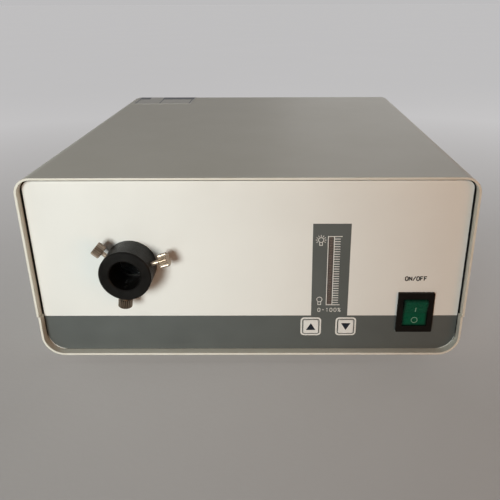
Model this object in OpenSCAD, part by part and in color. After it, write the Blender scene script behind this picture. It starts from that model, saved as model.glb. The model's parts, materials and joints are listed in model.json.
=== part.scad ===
// Xenon light source for a fibre light guide: a folded steel case with a clamping
// light port, an attenuator wheel, a lamp module, its power supply and a cooling fan.
// The origin is under the middle of the whole object, at the bottom of its feet.
// The front faces -Y and +Z is up. Lengths are in millimetres.

/* [Case] */
// Width of the case across its top cover
case_w = 300; // [296:1:330]
// Height of the case without its feet
case_h = 132; // [130:1:150]
// Depth of the case from front rim to rear rim
case_d = 334; // [330:1:380]
// Thickness of the folded sheet steel
sheet = 1.5; // [1.4:0.1:2]
// Corner radius along the top edges
top_radius = 11; // [8:0.5:14]
// Corner radius along the bottom edges
bottom_radius = 15; // [12:0.5:17]
// Height of the seam between tray and cover above the underside
seam_height = 31; // [30:0.5:38]
// How far the tray's sides stand inside the cover's sides
seam_step = 0.8; // [0.4:0.1:1.2]
// Open gap along the seam
seam_gap = 0.3; // [0.1:0.1:0.6]
// Thickness of the strips that join tray and cover
strip_t = 3; // [2:0.5:5]
// How far the strips reach above the seam
strip_rise = 14; // [11:1:20]

/* [Feet] */
// Height of the rubber feet
foot_h = 6; // [5:0.5:12]
// Diameter of the rubber feet at the case
foot_d = 18; // [16:1:24]
// Distance of the feet from the sides of the case
foot_inset_x = 30; // [26:1:40]
// Distance of the feet from the front and rear rims
foot_inset_y = 35; // [32:1:45]

/* [Panels] */
// How far the front and rear panels lie behind the rims
panel_recess = 6; // [5:0.5:9]
// Gap between the panels and the case around them
panel_gap = 1.5; // [1.3:0.1:2.5]
// Thickness of the aluminium front plate
plate_t = 3; // [3:0.25:4]
// Thickness of the printed overlay on the front plate
overlay_t = 0.5; // [0.3:0.1:0.8]
// Thickness of the panel rails
rail_t = 2.5; // [2.5:0.25:4]
// Depth of the panel rails along the floor
rail_leg = 12; // [11:0.5:16]
// Width of the bare plate on the top cover
label_w = 64.5; // [40:0.5:80]
// Depth of the bare plate on the top cover
label_d = 45; // [30:1:60]
// Thickness of the bare plate on the top cover
label_t = 0.3; // [0.2:0.1:0.5]

/* [Light port] */
// Sideways place of the optical axis
port_x = -80.9; // [-90:0.1:-76]
// Height of the optical axis above the underside
port_height = 69.5; // [66:0.5:76]
// Outer diameter of the barrel
port_d = 34.7; // [32:0.1:38]
// Diameter of the bore for the light guide
bore_d = 20.5; // [16:0.5:22]
// How far the barrel stands out of the panel
port_len = 20.35; // [17:0.05:28]
// Depth of the bore down to its stop lip
guide_depth = 22; // [18:0.5:24]
// Diameter of the barrel's threaded spigot
spigot_d = 30; // [29:0.5:31]
// Diameter of the condenser lens
lens_d = 25; // [23:0.5:26]
// Edge thickness of the condenser lens
lens_edge = 2.5; // [2:0.25:4]
// Length of the ring that holds the lens
lens_ring_l = 3; // [2:0.5:5]
// Outer diameter of the nut behind the panel
port_nut_d = 38; // [36:1:42]
// Thickness of the nut behind the panel
port_nut_t = 4; // [3:0.5:6]

/* [Thumbscrews] */
// Diameter of the knurled heads
thumb_d = 9.5; // [8:0.5:12]
// Length of the knurled heads
thumb_l = 6; // [5.5:0.5:10]
// Distance of the screws behind the front of the barrel
thumb_setback = 8.5; // [7:0.5:10]
// Diameter of the screw shanks
shank_d = 2.9; // [2.5:0.1:3.9]
// How far the shanks can reach into the bore
shank_reach = 1.95; // [1.4:0.05:2.2]
// Thickness of the nylon clamp tips
tip_l = 1.5; // [1:0.25:2]
// Diameter of the stems of the clamp tips
stem_d = 1.4; // [1.2:0.1:1.6]
// Length of the stems of the clamp tips
stem_l = 3; // [2:0.5:4]

/* [Keys and display] */
// Sideways place of the key that brightens the lamp
brighter_x = 43; // [42:0.5:44]
// Sideways place of the key that dims the lamp
dimmer_x = 68; // [67:0.5:70]
// Height of the keys above the underside
key_height = 20.1; // [20:0.1:22]
// Width of the square keys
key_w = 10.6; // [9.6:0.1:11.2]
// How far the keys stand out of the overlay
key_proud = 0.4; // [0.2:0.1:1]
// Travel of the keys
key_travel = 0.6; // [0.3:0.1:1]
// Width of the square flanges that hold the keys in
key_flange_w = 12.6; // [12.2:0.1:12.8]
// Middle of the bar display above the underside
bar_height = 63.6; // [63:0.2:68]
// Width of the lit bar
bar_w = 3.2; // [3:0.1:4.4]
// Length of the lit bar
bar_l = 51; // [50:0.5:58]
// Space between the front plate and the control board
board_gap = 8; // [7.5:0.25:12]
// Thickness of the circuit boards
board_t = 1.6; // [1:0.1:2.4]

/* [Rocker switch] */
// Sideways place of the switch
switch_x = 116.4; // [112:0.2:120]
// Height of the middle of the switch above the underside
switch_height = 32.1; // [28:0.1:40]
// Width of the switch bezel
bezel_w = 25.5; // [25:0.1:28]
// Height of the switch bezel
bezel_h = 31; // [30:0.5:34]
// Thickness of the switch bezel
bezel_t = 2; // [1.5:0.1:3]
// Width of the rocker
rocker_w = 17; // [14:0.5:17.5]
// Swing radius of the rocker's ends
rocker_r = 11.2; // [10.8:0.1:12.6]
// Tilt of the rocker to either side
rocker_tilt = 10; // [6:0.5:12]

/* [Attenuator] */
// Distance from the optical axis to the attenuator shaft
wheel_pitch = 28; // [26:0.5:32]
// Rim left outside the largest hole of the attenuator wheel
wheel_rim = 3; // [2:0.5:5]
// Radius of the smallest hole of the attenuator wheel
wheel_hole_min = 0.8; // [0.5:0.1:1.5]
// Radius of the largest hole of the attenuator wheel
wheel_hole_max = 6.5; // [5:0.1:7]
// Diameter of the attenuator motor
motor_d = 20; // [16:1:22]
// Length of the attenuator motor
motor_l = 18; // [14:1:22]
// Diameter of the infrared blocking filter
filter_d = 25; // [23:0.5:26]

/* [Lamp] */
// Diameter of the lamp's metal collars
lamp_d = 42; // [38:1:46]
// Length of the lamp between its end faces
lamp_l = 58; // [56:1:66]
// Radius of the heatsinks across their fins
heatsink_r = 38; // [36:0.5:40]
// Length of each heatsink
heatsink_l = 24; // [18:1:24]
// Number of fins round each heatsink
fin_count = 24; // [16:2:30]

/* [Power supply] */
// Width of the power board
psu_w = 110; // [108:1:114]
// Depth of the power board
psu_d = 180; // [176:1:184]
// Height of the power board above the floor
psu_gap = 8; // [7:0.5:12]
// Width of the igniter box
igniter_w = 60; // [54:1:70]
// Depth of the igniter box
igniter_d = 70; // [66:1:76]
// Height of the igniter box
igniter_h = 42; // [36:1:50]

/* [Rear] */
// Side of the square fan
fan_size = 80; // [78:1:84]
// Depth of the fan
fan_depth = 25; // [24:0.5:30]
// Width of the ventilation slots
vent_w = 3; // [2:0.1:3.4]
// Sideways place of the mains inlet
inlet_x = 105; // [98:1:110]
// Height of the middle of the mains inlet above the underside
inlet_height = 62; // [50:1:76]
// Travel of the fuse drawer
drawer_travel = 14; // [10:0.5:15]

/* [Fits] */
// Radial clearance of shafts and pins that turn or slide
run_clearance = 0.05; // [0.02:0.01:0.08]
// Radial clearance of screws in their threads
tap_clearance = 0.05; // [0.02:0.01:0.1]
// Radial clearance of screws in plain holes
hole_clearance = 0.2; // [0.1:0.05:0.4]
// Clearance of pieces that seat in openings
seat_clearance = 0.2; // [0.1:0.05:0.3]
// Clearance of moving pieces in their openings
slide_clearance = 0.3; // [0.2:0.05:0.4]

/* [Hidden] */
$fn = 48;

// Main planes, from front to rear
port_reach = port_len - panel_recess;
port_face_y = -(case_d + port_reach) / 2;
rim_y = port_face_y + port_reach;
rear_y = rim_y + case_d;
overlay_y = rim_y + panel_recess;
plate_y = overlay_y + overlay_t;
inner_y = plate_y + plate_t;
rear_face_y = rear_y - panel_recess;
rear_in_y = rear_face_y - sheet;

// Main heights
floor_z = foot_h + sheet;
roof_z = foot_h + case_h - sheet;
seam_z = foot_h + seam_height;
axis_z = foot_h + port_height;
key_z = foot_h + key_height;
bar_z = foot_h + bar_height;
switch_z = foot_h + switch_height;
inlet_z = foot_h + inlet_height;

// Pan head M3 screws
m3_r = 1.5;
m3_l = 5;
m3_head_r = 2.75;
m3_head_h = 1.8;
m3_tip_room = 0.1;
cross_w = 0.8;
cross_depth = 1;

// Countersunk case screws
csk_r = 1.5;
csk_head_r = 2.8;
csk_head_h = csk_head_r - csk_r;
csk_l = 4;

// Feet and their M4 screws
foot_r = foot_d / 2;
foot_taper = 1;
foot_recess_r = 4.5;
foot_recess_h = 3;
m4_r = 2;
m4_head_r = 3.6;
m4_head_h = 2.2;
m4_tail = 1;
m4_nut_r = 4;
m4_nut_h = 3;
foot_x = case_w / 2 - foot_inset_x;
foot_spots = [
    for (x = [-foot_x, foot_x], y = [rim_y + foot_inset_y, rear_y - foot_inset_y]) [x, y]
];

// Strips inside the seam
cover_in = case_w / 2 - sheet;
tray_in = cover_in - seam_step;
strip_in = tray_in - strip_t;
strip_end_gap = 20;
strip_bend_gap = 0.5;
strip_low_z = foot_h + bottom_radius + strip_bend_gap;
strip_high_z = seam_z + strip_rise;
strip_screw_inset = 30;
strip_screw_ys = [rim_y + strip_end_gap + strip_screw_inset, (rim_y + rear_y) / 2,
    rear_y - strip_end_gap - strip_screw_inset];
tray_screw_z = (strip_low_z + seam_z) / 2;
cover_screw_z = seam_z + strip_rise / 2;

// Panels and their rails
panel_half_w = cover_in - panel_gap;
panel_low_gap = 0.2;
panel_high_gap = 2.2;
panel_low_z = floor_z + panel_low_gap;
panel_high_z = roof_z - panel_high_gap;
panel_low_r = bottom_radius - sheet - panel_gap;
panel_corner_tightening = 2.5;
panel_high_r = top_radius - sheet - panel_gap - panel_corner_tightening;
rail_rise = key_z - key_flange_w / 2 - slide_clearance - floor_z;
rail_end_gap = 45;
rail_half_l = case_w / 2 - rail_end_gap;
rail_screw_inset = 15;
rail_screw_xs = [-rail_half_l + rail_screw_inset, 0, rail_half_l - rail_screw_inset];
rail_panel_shift = 12;
rail_panel_xs = [for (x = rail_screw_xs) x + rail_panel_shift];
rail_floor_reach = 8;
rail_screw_rise = 7;
rail_panel_z = floor_z + rail_screw_rise;
plate_tap_depth = m3_l - rail_t + m3_tip_room;
label_edge = 0.5;

// Light port
port_r = port_d / 2;
bore_r = bore_d / 2;
spigot_r = spigot_d / 2;
lip_w = 1.25;
lip_r = bore_r - lip_w;
lip_t = 1.5;
lens_r = lens_d / 2;
lens_seat_r = lens_r + tap_clearance;
lens_sphere_r = 26;
lens_ring_wall = 2.5;
lens_ring_set_in = 1;
lens_y = port_face_y + guide_depth + lip_t;
lens_ring_y = lens_y + lens_edge;
port_l = guide_depth + lip_t + lens_edge + lens_ring_l + lens_ring_set_in;
spigot_tail = 1;
port_end_y = max(port_face_y + port_l, inner_y + port_nut_t + spigot_tail);
port_chamfer = 0.8;
nut_notches = 4;
nut_notch_w = 4;
nut_notch_depth = 1.5;

// Thumbscrews, as seen from the front and counted from +X towards +Z
thumb_angles = [139, 18, 261];
thumb_gaps = [2.9, 6, 3.1];
shank_r = shank_d / 2;
shank_l = port_r - bore_r + shank_reach;
shank_hole_r = shank_r + run_clearance;
stem_r = stem_d / 2;
stem_hole_r = stem_r + run_clearance;
stem_end_room = 0.3;
tip_trim = 0.05;
tip_r = shank_r - tip_trim;
thumb_r = thumb_d / 2;
thumb_chamfer = 0.5;
knurl_teeth = 40;
knurl_depth = 0.35;
knurl_trim = 0.1;

// Keys, control board and bar display
key_xs = [brighter_x, dimmer_x];
key_radius = 1.2;
key_flange_t = 1;
actuator_r = 1.75;
actuator_engage = 1.4;
tact_w = 6.2;
tact_h = 3.5;
tact_floor_room = 0.3;
board_y = inner_y + board_gap;
control_x = (brighter_x + dimmer_x) / 2;
board_side = 10.5;
board_w = dimmer_x - brighter_x + 2 * board_side;
board_drop = 5;
board_low_z = key_z - board_drop;
board_rise = 9;
board_high_z = bar_z + bar_l / 2 + board_rise;
standoff_r = 3;
standoff_stud_r = 1.5;
standoff_stud_l = 2.4;
standoff_head_r = 2.6;
standoff_head_h = 1.6;
standoff_inset = 4;
low_standoff_rise = 14;
board_spots = [
    for (x = [control_x - board_w / 2 + standoff_inset, control_x + board_w / 2 - standoff_inset],
        z = [key_z + low_standoff_rise, board_high_z - standoff_inset]) [x, z]
];
bar_block_w = 10;
bar_block_end = 2;
bar_block_l = bar_l + 2 * bar_block_end;
bar_block_t = 5;
bar_set_back = 0.2;

// Rocker switch
bezel_radius = 0.8;
switch_side_wall = 2;
switch_end_wall = 1.3;
switch_body_w = rocker_w + 2 * (slide_clearance + switch_side_wall);
switch_body_h = 2 * (rocker_r + slide_clearance + switch_end_wall);
switch_pivot_depth = 4.5;
pivot_y = overlay_y - bezel_t + switch_pivot_depth;
rocker_set_back = 0.7;
rocker_mid = switch_pivot_depth - rocker_set_back;
rocker_back = 6;
pin_r = 1.5;
pin_l = 1.4;
pin_end_room = 0.2;
switch_base_t = 5;
switch_depth = switch_pivot_depth - bezel_t + rocker_r + slide_clearance + switch_base_t;
terminal_w = 6.3;
terminal_t = 0.8;
terminal_l = 9;
terminal_steps = [-8, 0, 8];

// Attenuator
wheel_t = 1;
wheel_holes = 11;
wheel_step = 30;
wheel_r = wheel_pitch + wheel_hole_max + wheel_rim;
wheel_front_gap = 6;
wheel_y = port_end_y + wheel_front_gap;
hub_r = 5;
hub_l = 4;
shaft_r = 1.5;
shaft_x = port_x + wheel_pitch;
bracket_t = 2;
bracket_gap = 2;
bracket_y = wheel_y + wheel_t + bracket_gap;
bracket_back_y = bracket_y + bracket_t;
bracket_leg = 20;
bracket_side = 18;
bracket_low_x = port_x - bracket_side;
bracket_high_x = shaft_x + bracket_side;
bracket_rise = 22;
bracket_high_z = axis_z + bracket_rise;
bracket_screw_inset = 8;
bracket_screw_reach = 11;
bracket_screw_y = bracket_back_y + bracket_screw_reach;
beam_r = 10;
motor_r = motor_d / 2;
motor_boss_r = 4;
motor_boss_l = bracket_t;
filter_r = filter_d / 2;
filter_t = 3;
filter_ring_wall = 2;
filter_ring_lip = 1.5;

// Lamp module
lamp_gap = 30;
lamp_y = bracket_back_y + lamp_gap;
lamp_r = lamp_d / 2;
waist_depth = 3;
lamp_waist_r = lamp_r - waist_depth;
sink_end = 1;
collar_l = heatsink_l - 2 * sink_end;
window_r = 12.5;
window_t = 3;
window_depth = 5;
heatsink_ring = 5;
front_sink_y = lamp_y + sink_end;
rear_sink_y = lamp_y + lamp_l - sink_end - heatsink_l;
sink_bore_r = lamp_r + seat_clearance;
sink_ring_r = sink_bore_r + heatsink_ring;
fin_t = 1.6;
sink_foot_t = 4;
sink_foot_half_w = 26;
sink_web_w = 8;
sink_foot_z = axis_z - heatsink_r - sink_foot_t;
post_dx = 20;
post_r = 5;
post_stud_r = 2;
post_head_r = 3.4;
post_head_h = 1.6;
post_spots = [
    for (x = [port_x - post_dx, port_x + post_dx], y = [front_sink_y, rear_sink_y]) [x, y + heatsink_l / 2]
];
tap_end_room = 1;
tap_depth = m3_l - sheet + tap_end_room;

// Igniter
igniter_gap = 25;
igniter_y = lamp_y + lamp_l + igniter_gap + igniter_d / 2;
igniter_radius = 3;
igniter_screw_dx = 18;
igniter_screw_dy = 24;
igniter_spots = [
    for (side = [-1, 1]) [port_x + side * igniter_screw_dx, igniter_y + side * igniter_screw_dy]
];
terminal_post_r = 5;
terminal_post_h = 10;
terminal_post_dx = 15;

// Power supply
psu_right_gap = 33;
psu_x = case_w / 2 - psu_right_gap - psu_w / 2;
psu_rear_gap = 45;
psu_y = rear_in_y - psu_rear_gap - psu_d / 2;
psu_top_z = floor_z + psu_gap + board_t;
psu_inset = 6;
psu_spots = [
    for (x = [psu_x - psu_w / 2 + psu_inset, psu_x + psu_w / 2 - psu_inset],
        y = [psu_y - psu_d / 2 + psu_inset, psu_y + psu_d / 2 - psu_inset]) [x, y]
];
core_w = 46;
core_d = 18;
core_h = 38;
winding_w = 30;
winding_d = 40;
winding_h = 24;
transformer_dx = 20;
transformer_dy = 48;
transformer_x = psu_x - transformer_dx;
transformer_y = psu_y + transformer_dy;
capacitor_r = 12.5;
capacitor_h = 40;
capacitor_pitch = 27;
capacitor_dx = 30;
capacitor_x = psu_x + capacitor_dx;
capacitor_count = 3;
comb_base_t = 4;
comb_w = 24;
comb_l = 90;
comb_h = 35;
comb_fins = 5;
comb_inset = 16;
comb_dy = 30;
comb_x = psu_x - psu_w / 2 + comb_inset;
comb_y = psu_y - comb_dy;

// Fan
fan_x = port_x;
fan_z = axis_z;
fan_y = rear_in_y - fan_depth;
fan_radius = 4;
fan_wall = 2;
fan_hole_inset = 4.25;
fan_bore_r = fan_size / 2 - fan_wall;
fan_hole_pitch = fan_size - 2 * fan_hole_inset;
fan_screw_r = 2.1;
fan_screw_l = 10;
fan_screw_head_r = 4;
fan_screw_head_h = 2.2;
fan_plate_t = 3;
fan_plate_r = 17;
fan_strut_w = 4;
fan_hub_r = 16;
fan_hub_front = 1.5;
fan_hub_gap = 0.6;
fan_shaft_r = 2;
fan_tip_gap = 0.8;
blade_count = 7;
blade_t = 1.4;
blade_pitch = 40;
fan_spots = [
    for (sx = [-1, 1], sz = [-1, 1]) [fan_x + sx * fan_hole_pitch / 2, fan_z + sz * fan_hole_pitch / 2]
];

// Ventilation slots
vent_pitch = 6;
vent_rib = 5;
vent_margin = 2;
vent_r = fan_bore_r - vent_margin;
vent_rows = floor(vent_r / vent_pitch);
floor_vent_l = 40;
floor_vent_count = 7;
floor_vent_pitch = 8;
floor_vent_gap = 15;
floor_vent_y = igniter_y + igniter_d / 2 + floor_vent_gap;

// Mains inlet
flange_w = 50;
flange_h = 36;
flange_t = 2.5;
flange_radius = 3;
inlet_face_y = rear_face_y + flange_t;
inlet_body_w = 28;
inlet_body_h = 32;
inlet_depth = 24;
inlet_back_y = rear_face_y - inlet_depth;
inlet_screw_dx = 20;
socket_w = 24;
socket_h = 16;
socket_bevel = 4;
socket_depth = 17;
socket_rise = 6;
blade_w = 2;
blade_h = 4;
blade_l = 14;
tab_l = 9;
pin_drop = 2;
pin_side = 7;
earth_rise = 2.5;
slot_w = 23.4;
slot_h = 8;
slot_drop = 9.5;
drawer_face_w = 25;
drawer_face_h = 10;
drawer_face_t = 1.6;
drawer_face_radius = 1;
drawer_keep = 0.5;
drawer_l = drawer_travel + drawer_keep;
slot_end_room = 1.5;
slot_depth = drawer_l + slot_end_room;
drawer_w = slot_w - 2 * slide_clearance;
drawer_h = slot_h - 2 * slide_clearance;
fuse_r = 2.5;
fuse_l = 20;
fuse_set_back = 6;
fuse_room = 0.1;

// Earth stud
stud_side_gap = 15;
stud_rear_gap = 48;
stud_x = psu_x - psu_w / 2 - stud_side_gap;
stud_y = rear_in_y - stud_rear_gap;
stud_r = 2;
stud_h = 14;
stud_flange_r = 5;
stud_flange_t = 1.5;
stud_nut_r = 4;
stud_nut_h = 3;

// Every M3 screw that holds a piece to the floor from below
floor_screw_spots = concat(
    [for (x = rail_screw_xs) [x, inner_y + rail_floor_reach]],
    [for (x = rail_screw_xs) [x, rear_in_y - rail_floor_reach]],
    [for (x = [bracket_low_x + bracket_screw_inset, bracket_high_x - bracket_screw_inset])
        [x, bracket_screw_y]],
    post_spots, igniter_spots, psu_spots
);
inlet_screw_xs = [inlet_x - inlet_screw_dx, inlet_x + inlet_screw_dx];

// Routes of the inner wires, in steps from the places where they start, pass and end
lead_r = 2;
wire_r = 1.4;
tube_sides = 8;
curve_steps = 4;
wire_gap = 0.1;
lane_gap = 10.7;
lane_x = strip_in - lane_gap;
pin_z = inlet_z + socket_rise - pin_drop;
earth_pin_z = inlet_z + socket_rise + earth_rise;
tab_end_y = inlet_back_y - tab_l - wire_gap;
terminal_end_y = overlay_y + switch_depth + terminal_l + wire_gap;
igniter_post_z = floor_z + igniter_h + terminal_post_h + wire_gap;
sink_top_z = axis_z + heatsink_r + wire_gap;
psu_joint_z = psu_top_z + wire_gap;
psu_left = psu_x - psu_w / 2;
psu_right = psu_x + psu_w / 2;
psu_front = psu_y - psu_d / 2;
psu_back = psu_y + psu_d / 2;
function steps_from(place, steps) = [for (step = steps) place + step];
front_lead = concat(
    steps_from([port_x - terminal_post_dx, igniter_y, igniter_post_z],
        [[0, 0, 0], [0, 0, 20], [2, -15, 44]]),
    steps_from([port_x, front_sink_y + heatsink_l / 2, sink_top_z],
        [[-9, 50, 10], [-2, 8, 12], [0, 0, 7], [0, 0, 0]]));
rear_lead = concat(
    steps_from([port_x + terminal_post_dx, igniter_y, igniter_post_z],
        [[0, 0, 0], [0, 0, 18], [-2, -15, 40]]),
    steps_from([port_x, rear_sink_y + heatsink_l / 2, sink_top_z],
        [[5, 24, 8], [1, 6, 10], [0, 0, 6], [0, 0, 0]]));
live_wire = concat(
    steps_from([inlet_x - pin_side, tab_end_y, pin_z], [[0, 0, 0], [0, -7, 0], [14, -23, -6]]),
    steps_from([lane_x, psu_y, psu_top_z], [[-4, 48, 43], [0, -32, 39], [-2, -102, 37]]),
    steps_from([switch_x, terminal_end_y, switch_z + terminal_steps[2]],
        [[7.5, 21, 2.5], [0, 7, 0], [0, 0, 0]]));
neutral_wire = concat(
    steps_from([inlet_x + pin_side, tab_end_y, pin_z], [[0, 0, 0], [0, -7, 0], [-2, -13, -12]]),
    steps_from([psu_right - 9, psu_back - 22, psu_joint_z], [[0, 12, 23], [0, 0, 9], [0, 0, 0]]));
earth_wire = concat(
    steps_from([inlet_x, tab_end_y, earth_pin_z],
        [[0, 0, 0], [0, -7, 0], [-13, -13, -2.5], [-55, -15, -16]]),
    steps_from([stud_x, stud_y, floor_z + stud_h + wire_gap], [[18, 0, 22], [0, 0, 8], [0, 0, 0]]));
switched_wire = concat(
    steps_from([switch_x, terminal_end_y, switch_z + terminal_steps[1]],
        [[0, 0, 0], [0, 12, 0], [-4, 34, -4]]),
    steps_from([psu_right - 13, psu_front + 12, psu_joint_z], [[2, -16, 11], [0, 0, 6], [0, 0, 0]]));
lamp_wire = concat(
    steps_from([psu_left + 5, psu_y + 28, psu_joint_z], [[0, 0, 0], [0, 0, 13], [-12, -4, 25]]),
    steps_from([port_x + igniter_w / 2 + wire_gap, igniter_y + 13, floor_z + igniter_h - 12.5],
        [[26.5, 12, 7], [10.5, 0, 0], [0, 0, 0]]));
control_wire = concat(
    steps_from([control_x, board_y + board_t + wire_gap, key_z + 34], [[0, 0, 0], [0, 11, 0], [-6, 31, -12]]),
    steps_from([psu_x - 18, psu_front + 8, psu_joint_z], [[0, -40, 17], [0, 0, 9], [0, 0, 0]]));
wire_routes = [live_wire, neutral_wire, earth_wire, switched_wire, lamp_wire, control_wire];

// Flat outline with round corners: half width, low and high edge, low and high radius
module soft_rect(half_w, low, high, r_low, r_high) {
    translate([-half_w, low + r_low]) square([2 * half_w, high - low - r_low - r_high]);
    translate([r_low - half_w, low]) square([2 * (half_w - r_low), high - low - r_high]);
    translate([r_high - half_w, low + r_low]) square([2 * (half_w - r_high), high - low - r_low]);
    for (side = [-1, 1]) {
        translate([side * (half_w - r_low), low + r_low]) circle(r_low);
        translate([side * (half_w - r_high), high - r_high]) circle(r_high);
    }
}

module rounded(w, h, r) {
    soft_rect(w / 2, -h / 2, h / 2, r, r);
}

module box_outline(w, h) {
    square([w, h], center = true);
}

// Stands a flat outline upright, from y towards the rear
module upright(y, thickness) {
    translate([0, y + thickness, 0]) rotate([90, 0, 0]) linear_extrude(thickness) children();
}

// Turns a piece so that its +Z runs towards the rear, or towards the front
module to_rear(x, y, z) {
    translate([x, y, z]) rotate([-90, 0, 0]) children();
}

module to_front(x, y, z) {
    translate([x, y, z]) rotate([90, 0, 0]) children();
}

// Turns a piece so that its +Z runs inwards from a side wall
module inwards(side, x, y, z) {
    translate([side * x, y, z]) rotate([0, -90 * side, 0]) children();
}

// Turns a piece so that its +Z runs outwards along a radius of the light port
module radial(angle) {
    translate([port_x, port_face_y + thumb_setback, axis_z]) rotate([0, 90 - angle, 0]) children();
}

module ring(outer_r, inner_r, h) {
    difference() {
        cylinder(h = h, r = outer_r);
        translate([0, 0, -1]) cylinder(h = h + 2, r = inner_r);
    }
}

module case_outline(inset, step) {
    soft_rect(case_w / 2 - step - inset, foot_h + inset, foot_h + case_h - inset,
        bottom_radius - inset, top_radius - inset);
}

module panel_outline() {
    soft_rect(panel_half_w, panel_low_z, panel_high_z, panel_low_r, panel_high_r);
}

module slot_outline(l, w) {
    box_outline(l - w, w);
    for (side = [-1, 1]) translate([side * (l - w) / 2, 0]) circle(w / 2);
}

// Smooth curve through points, and a round tube along it
function curve_point(a, b, c, d, t) =
    0.5 * (2 * b + (c - a) * t + (2 * a - 5 * b + 4 * c - d) * t * t + (3 * b - a - 3 * c + d) * t * t * t);

function smooth(points) = let (last = len(points) - 1) concat(
    [for (i = [0 : last - 1], s = [0 : curve_steps - 1])
        curve_point(points[max(i - 1, 0)], points[i], points[i + 1], points[min(i + 2, last)],
            s / curve_steps)],
    [points[last]]
);

function unit(v) = v / norm(v);

function heading(path, i) = unit(path[i + 1] - path[i - 1]);

// The end faces stand square to the first and last steps
module tube(points, r) {
    path = smooth(points);
    count = len(path);
    last = len(points) - 1;
    start_way = unit(points[1] - points[0]);
    end_way = unit(points[last] - points[last - 1]);
    aside = [0.3, 0.2, 1];
    rings = [
        for (i = [0 : count - 1])
            let (t = i == 0 ? start_way : i == count - 1 ? end_way : heading(path, i))
            let (away = [t.y + aside.x, aside.y - t.x, aside.z])
            let (u = unit(cross(t, away)), v = cross(t, u))
            for (k = [0 : tube_sides - 1])
                path[i] + r * (u * cos(360 * k / tube_sides) + v * sin(360 * k / tube_sides))
    ];
    walls = [
        for (i = [0 : count - 2], k = [0 : tube_sides - 1])
            let (n = (k + 1) % tube_sides, low = i * tube_sides, high = low + tube_sides)
            each [[low + k, high + n, high + k], [low + k, low + n, high + n]]
    ];
    start = [for (k = [1 : tube_sides - 2]) [0, k + 1, k]];
    base = (count - 1) * tube_sides;
    end = [for (k = [1 : tube_sides - 2]) [base, base + k, base + k + 1]];
    polyhedron(rings, concat(walls, start, end));
}

// Fasteners
module cross_recess(top_z) {
    for (turn = [0, 90])
        translate([0, 0, top_z]) rotate([0, 0, turn])
            cube([2 * m3_r, cross_w, 2 * cross_depth], center = true);
}

module m3_screw() {
    difference() {
        union() {
            translate([0, 0, -m3_head_h]) cylinder(h = m3_head_h, r = m3_head_r);
            cylinder(h = m3_l, r = m3_r);
        }
        cross_recess(-m3_head_h);
    }
}

module csk_screw() {
    difference() {
        union() {
            cylinder(h = csk_head_h, r1 = csk_head_r, r2 = csk_r);
            cylinder(h = csk_l, r = csk_r);
        }
        cross_recess(0);
    }
}

module csk_hole() {
    translate([0, 0, -1]) cylinder(h = 1, r = csk_head_r + tap_clearance);
    cylinder(h = csk_head_h, r1 = csk_head_r + tap_clearance, r2 = csk_r + tap_clearance);
    cylinder(h = sheet + 1, r = csk_r + tap_clearance);
}

module hex_nut(flat_r, h, bore) {
    difference() {
        cylinder(h = h, r = flat_r, $fn = 6);
        translate([0, 0, -1]) cylinder(h = h + 2, r = bore);
    }
}

// Case
module base_tray() {
    color("gainsboro") difference() {
        upright(rim_y, case_d) difference() {
            case_outline(0, seam_step);
            case_outline(sheet, seam_step);
            translate([-case_w, seam_z - seam_gap]) square([2 * case_w, case_h]);
        }
        for (spot = floor_screw_spots)
            translate([spot.x, spot.y, foot_h - 1]) cylinder(h = sheet + 2, r = m3_r + hole_clearance);
        for (spot = foot_spots)
            translate([spot.x, spot.y, foot_h - 1]) cylinder(h = sheet + 2, r = m4_r + hole_clearance);
        for (side = [-1, 1], y = strip_screw_ys)
            inwards(side, case_w / 2 - seam_step, y, tray_screw_z) csk_hole();
        for (i = [0 : floor_vent_count - 1])
            translate([port_x, floor_vent_y + i * floor_vent_pitch, foot_h - 1])
                linear_extrude(sheet + 2) slot_outline(floor_vent_l, vent_w);
    }
}

module top_cover() {
    color("gainsboro") difference() {
        upright(rim_y, case_d) difference() {
            case_outline(0, 0);
            case_outline(sheet, 0);
            translate([-case_w, seam_z - case_h]) square([2 * case_w, case_h]);
        }
        for (side = [-1, 1], y = strip_screw_ys)
            inwards(side, case_w / 2, y, cover_screw_z) csk_hole();
    }
}

module side_strips() {
    color("silver") difference() {
        for (flip = [0, 1])
            mirror([flip, 0, 0])
                upright(rim_y + strip_end_gap, case_d - 2 * strip_end_gap)
                    polygon([[strip_in, strip_low_z], [tray_in, strip_low_z], [tray_in, seam_z - seam_gap],
                        [cover_in, seam_z], [cover_in, strip_high_z], [strip_in, strip_high_z]]);
        for (side = [-1, 1], y = strip_screw_ys, z = [tray_screw_z, cover_screw_z])
            inwards(side, case_w / 2, y, z)
                cylinder(h = case_w / 2 - strip_in + 1, r = csk_r + tap_clearance);
    }
}

module case_screws() {
    color("lightgray") for (side = [-1, 1], y = strip_screw_ys) {
        inwards(side, case_w / 2 - seam_step, y, tray_screw_z) csk_screw();
        inwards(side, case_w / 2, y, cover_screw_z) csk_screw();
    }
}

module rubber_feet() {
    color("dimgray") for (spot = foot_spots) translate([spot.x, spot.y, 0]) difference() {
        cylinder(h = foot_h, r1 = foot_r - foot_taper, r2 = foot_r);
        translate([0, 0, -1]) cylinder(h = foot_recess_h + 1, r = foot_recess_r);
        cylinder(h = foot_h + 1, r = m4_r + hole_clearance);
    }
}

module foot_screws() {
    color("silver") for (spot = foot_spots) translate([spot.x, spot.y, foot_recess_h]) {
        translate([0, 0, -m4_head_h]) cylinder(h = m4_head_h, r = m4_head_r);
        cylinder(h = floor_z + m4_nut_h + m4_tail - foot_recess_h, r = m4_r);
    }
}

module foot_nuts() {
    color("silver") for (spot = foot_spots)
        translate([spot.x, spot.y, floor_z]) hex_nut(m4_nut_r, m4_nut_h, m4_r + tap_clearance);
}

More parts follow.
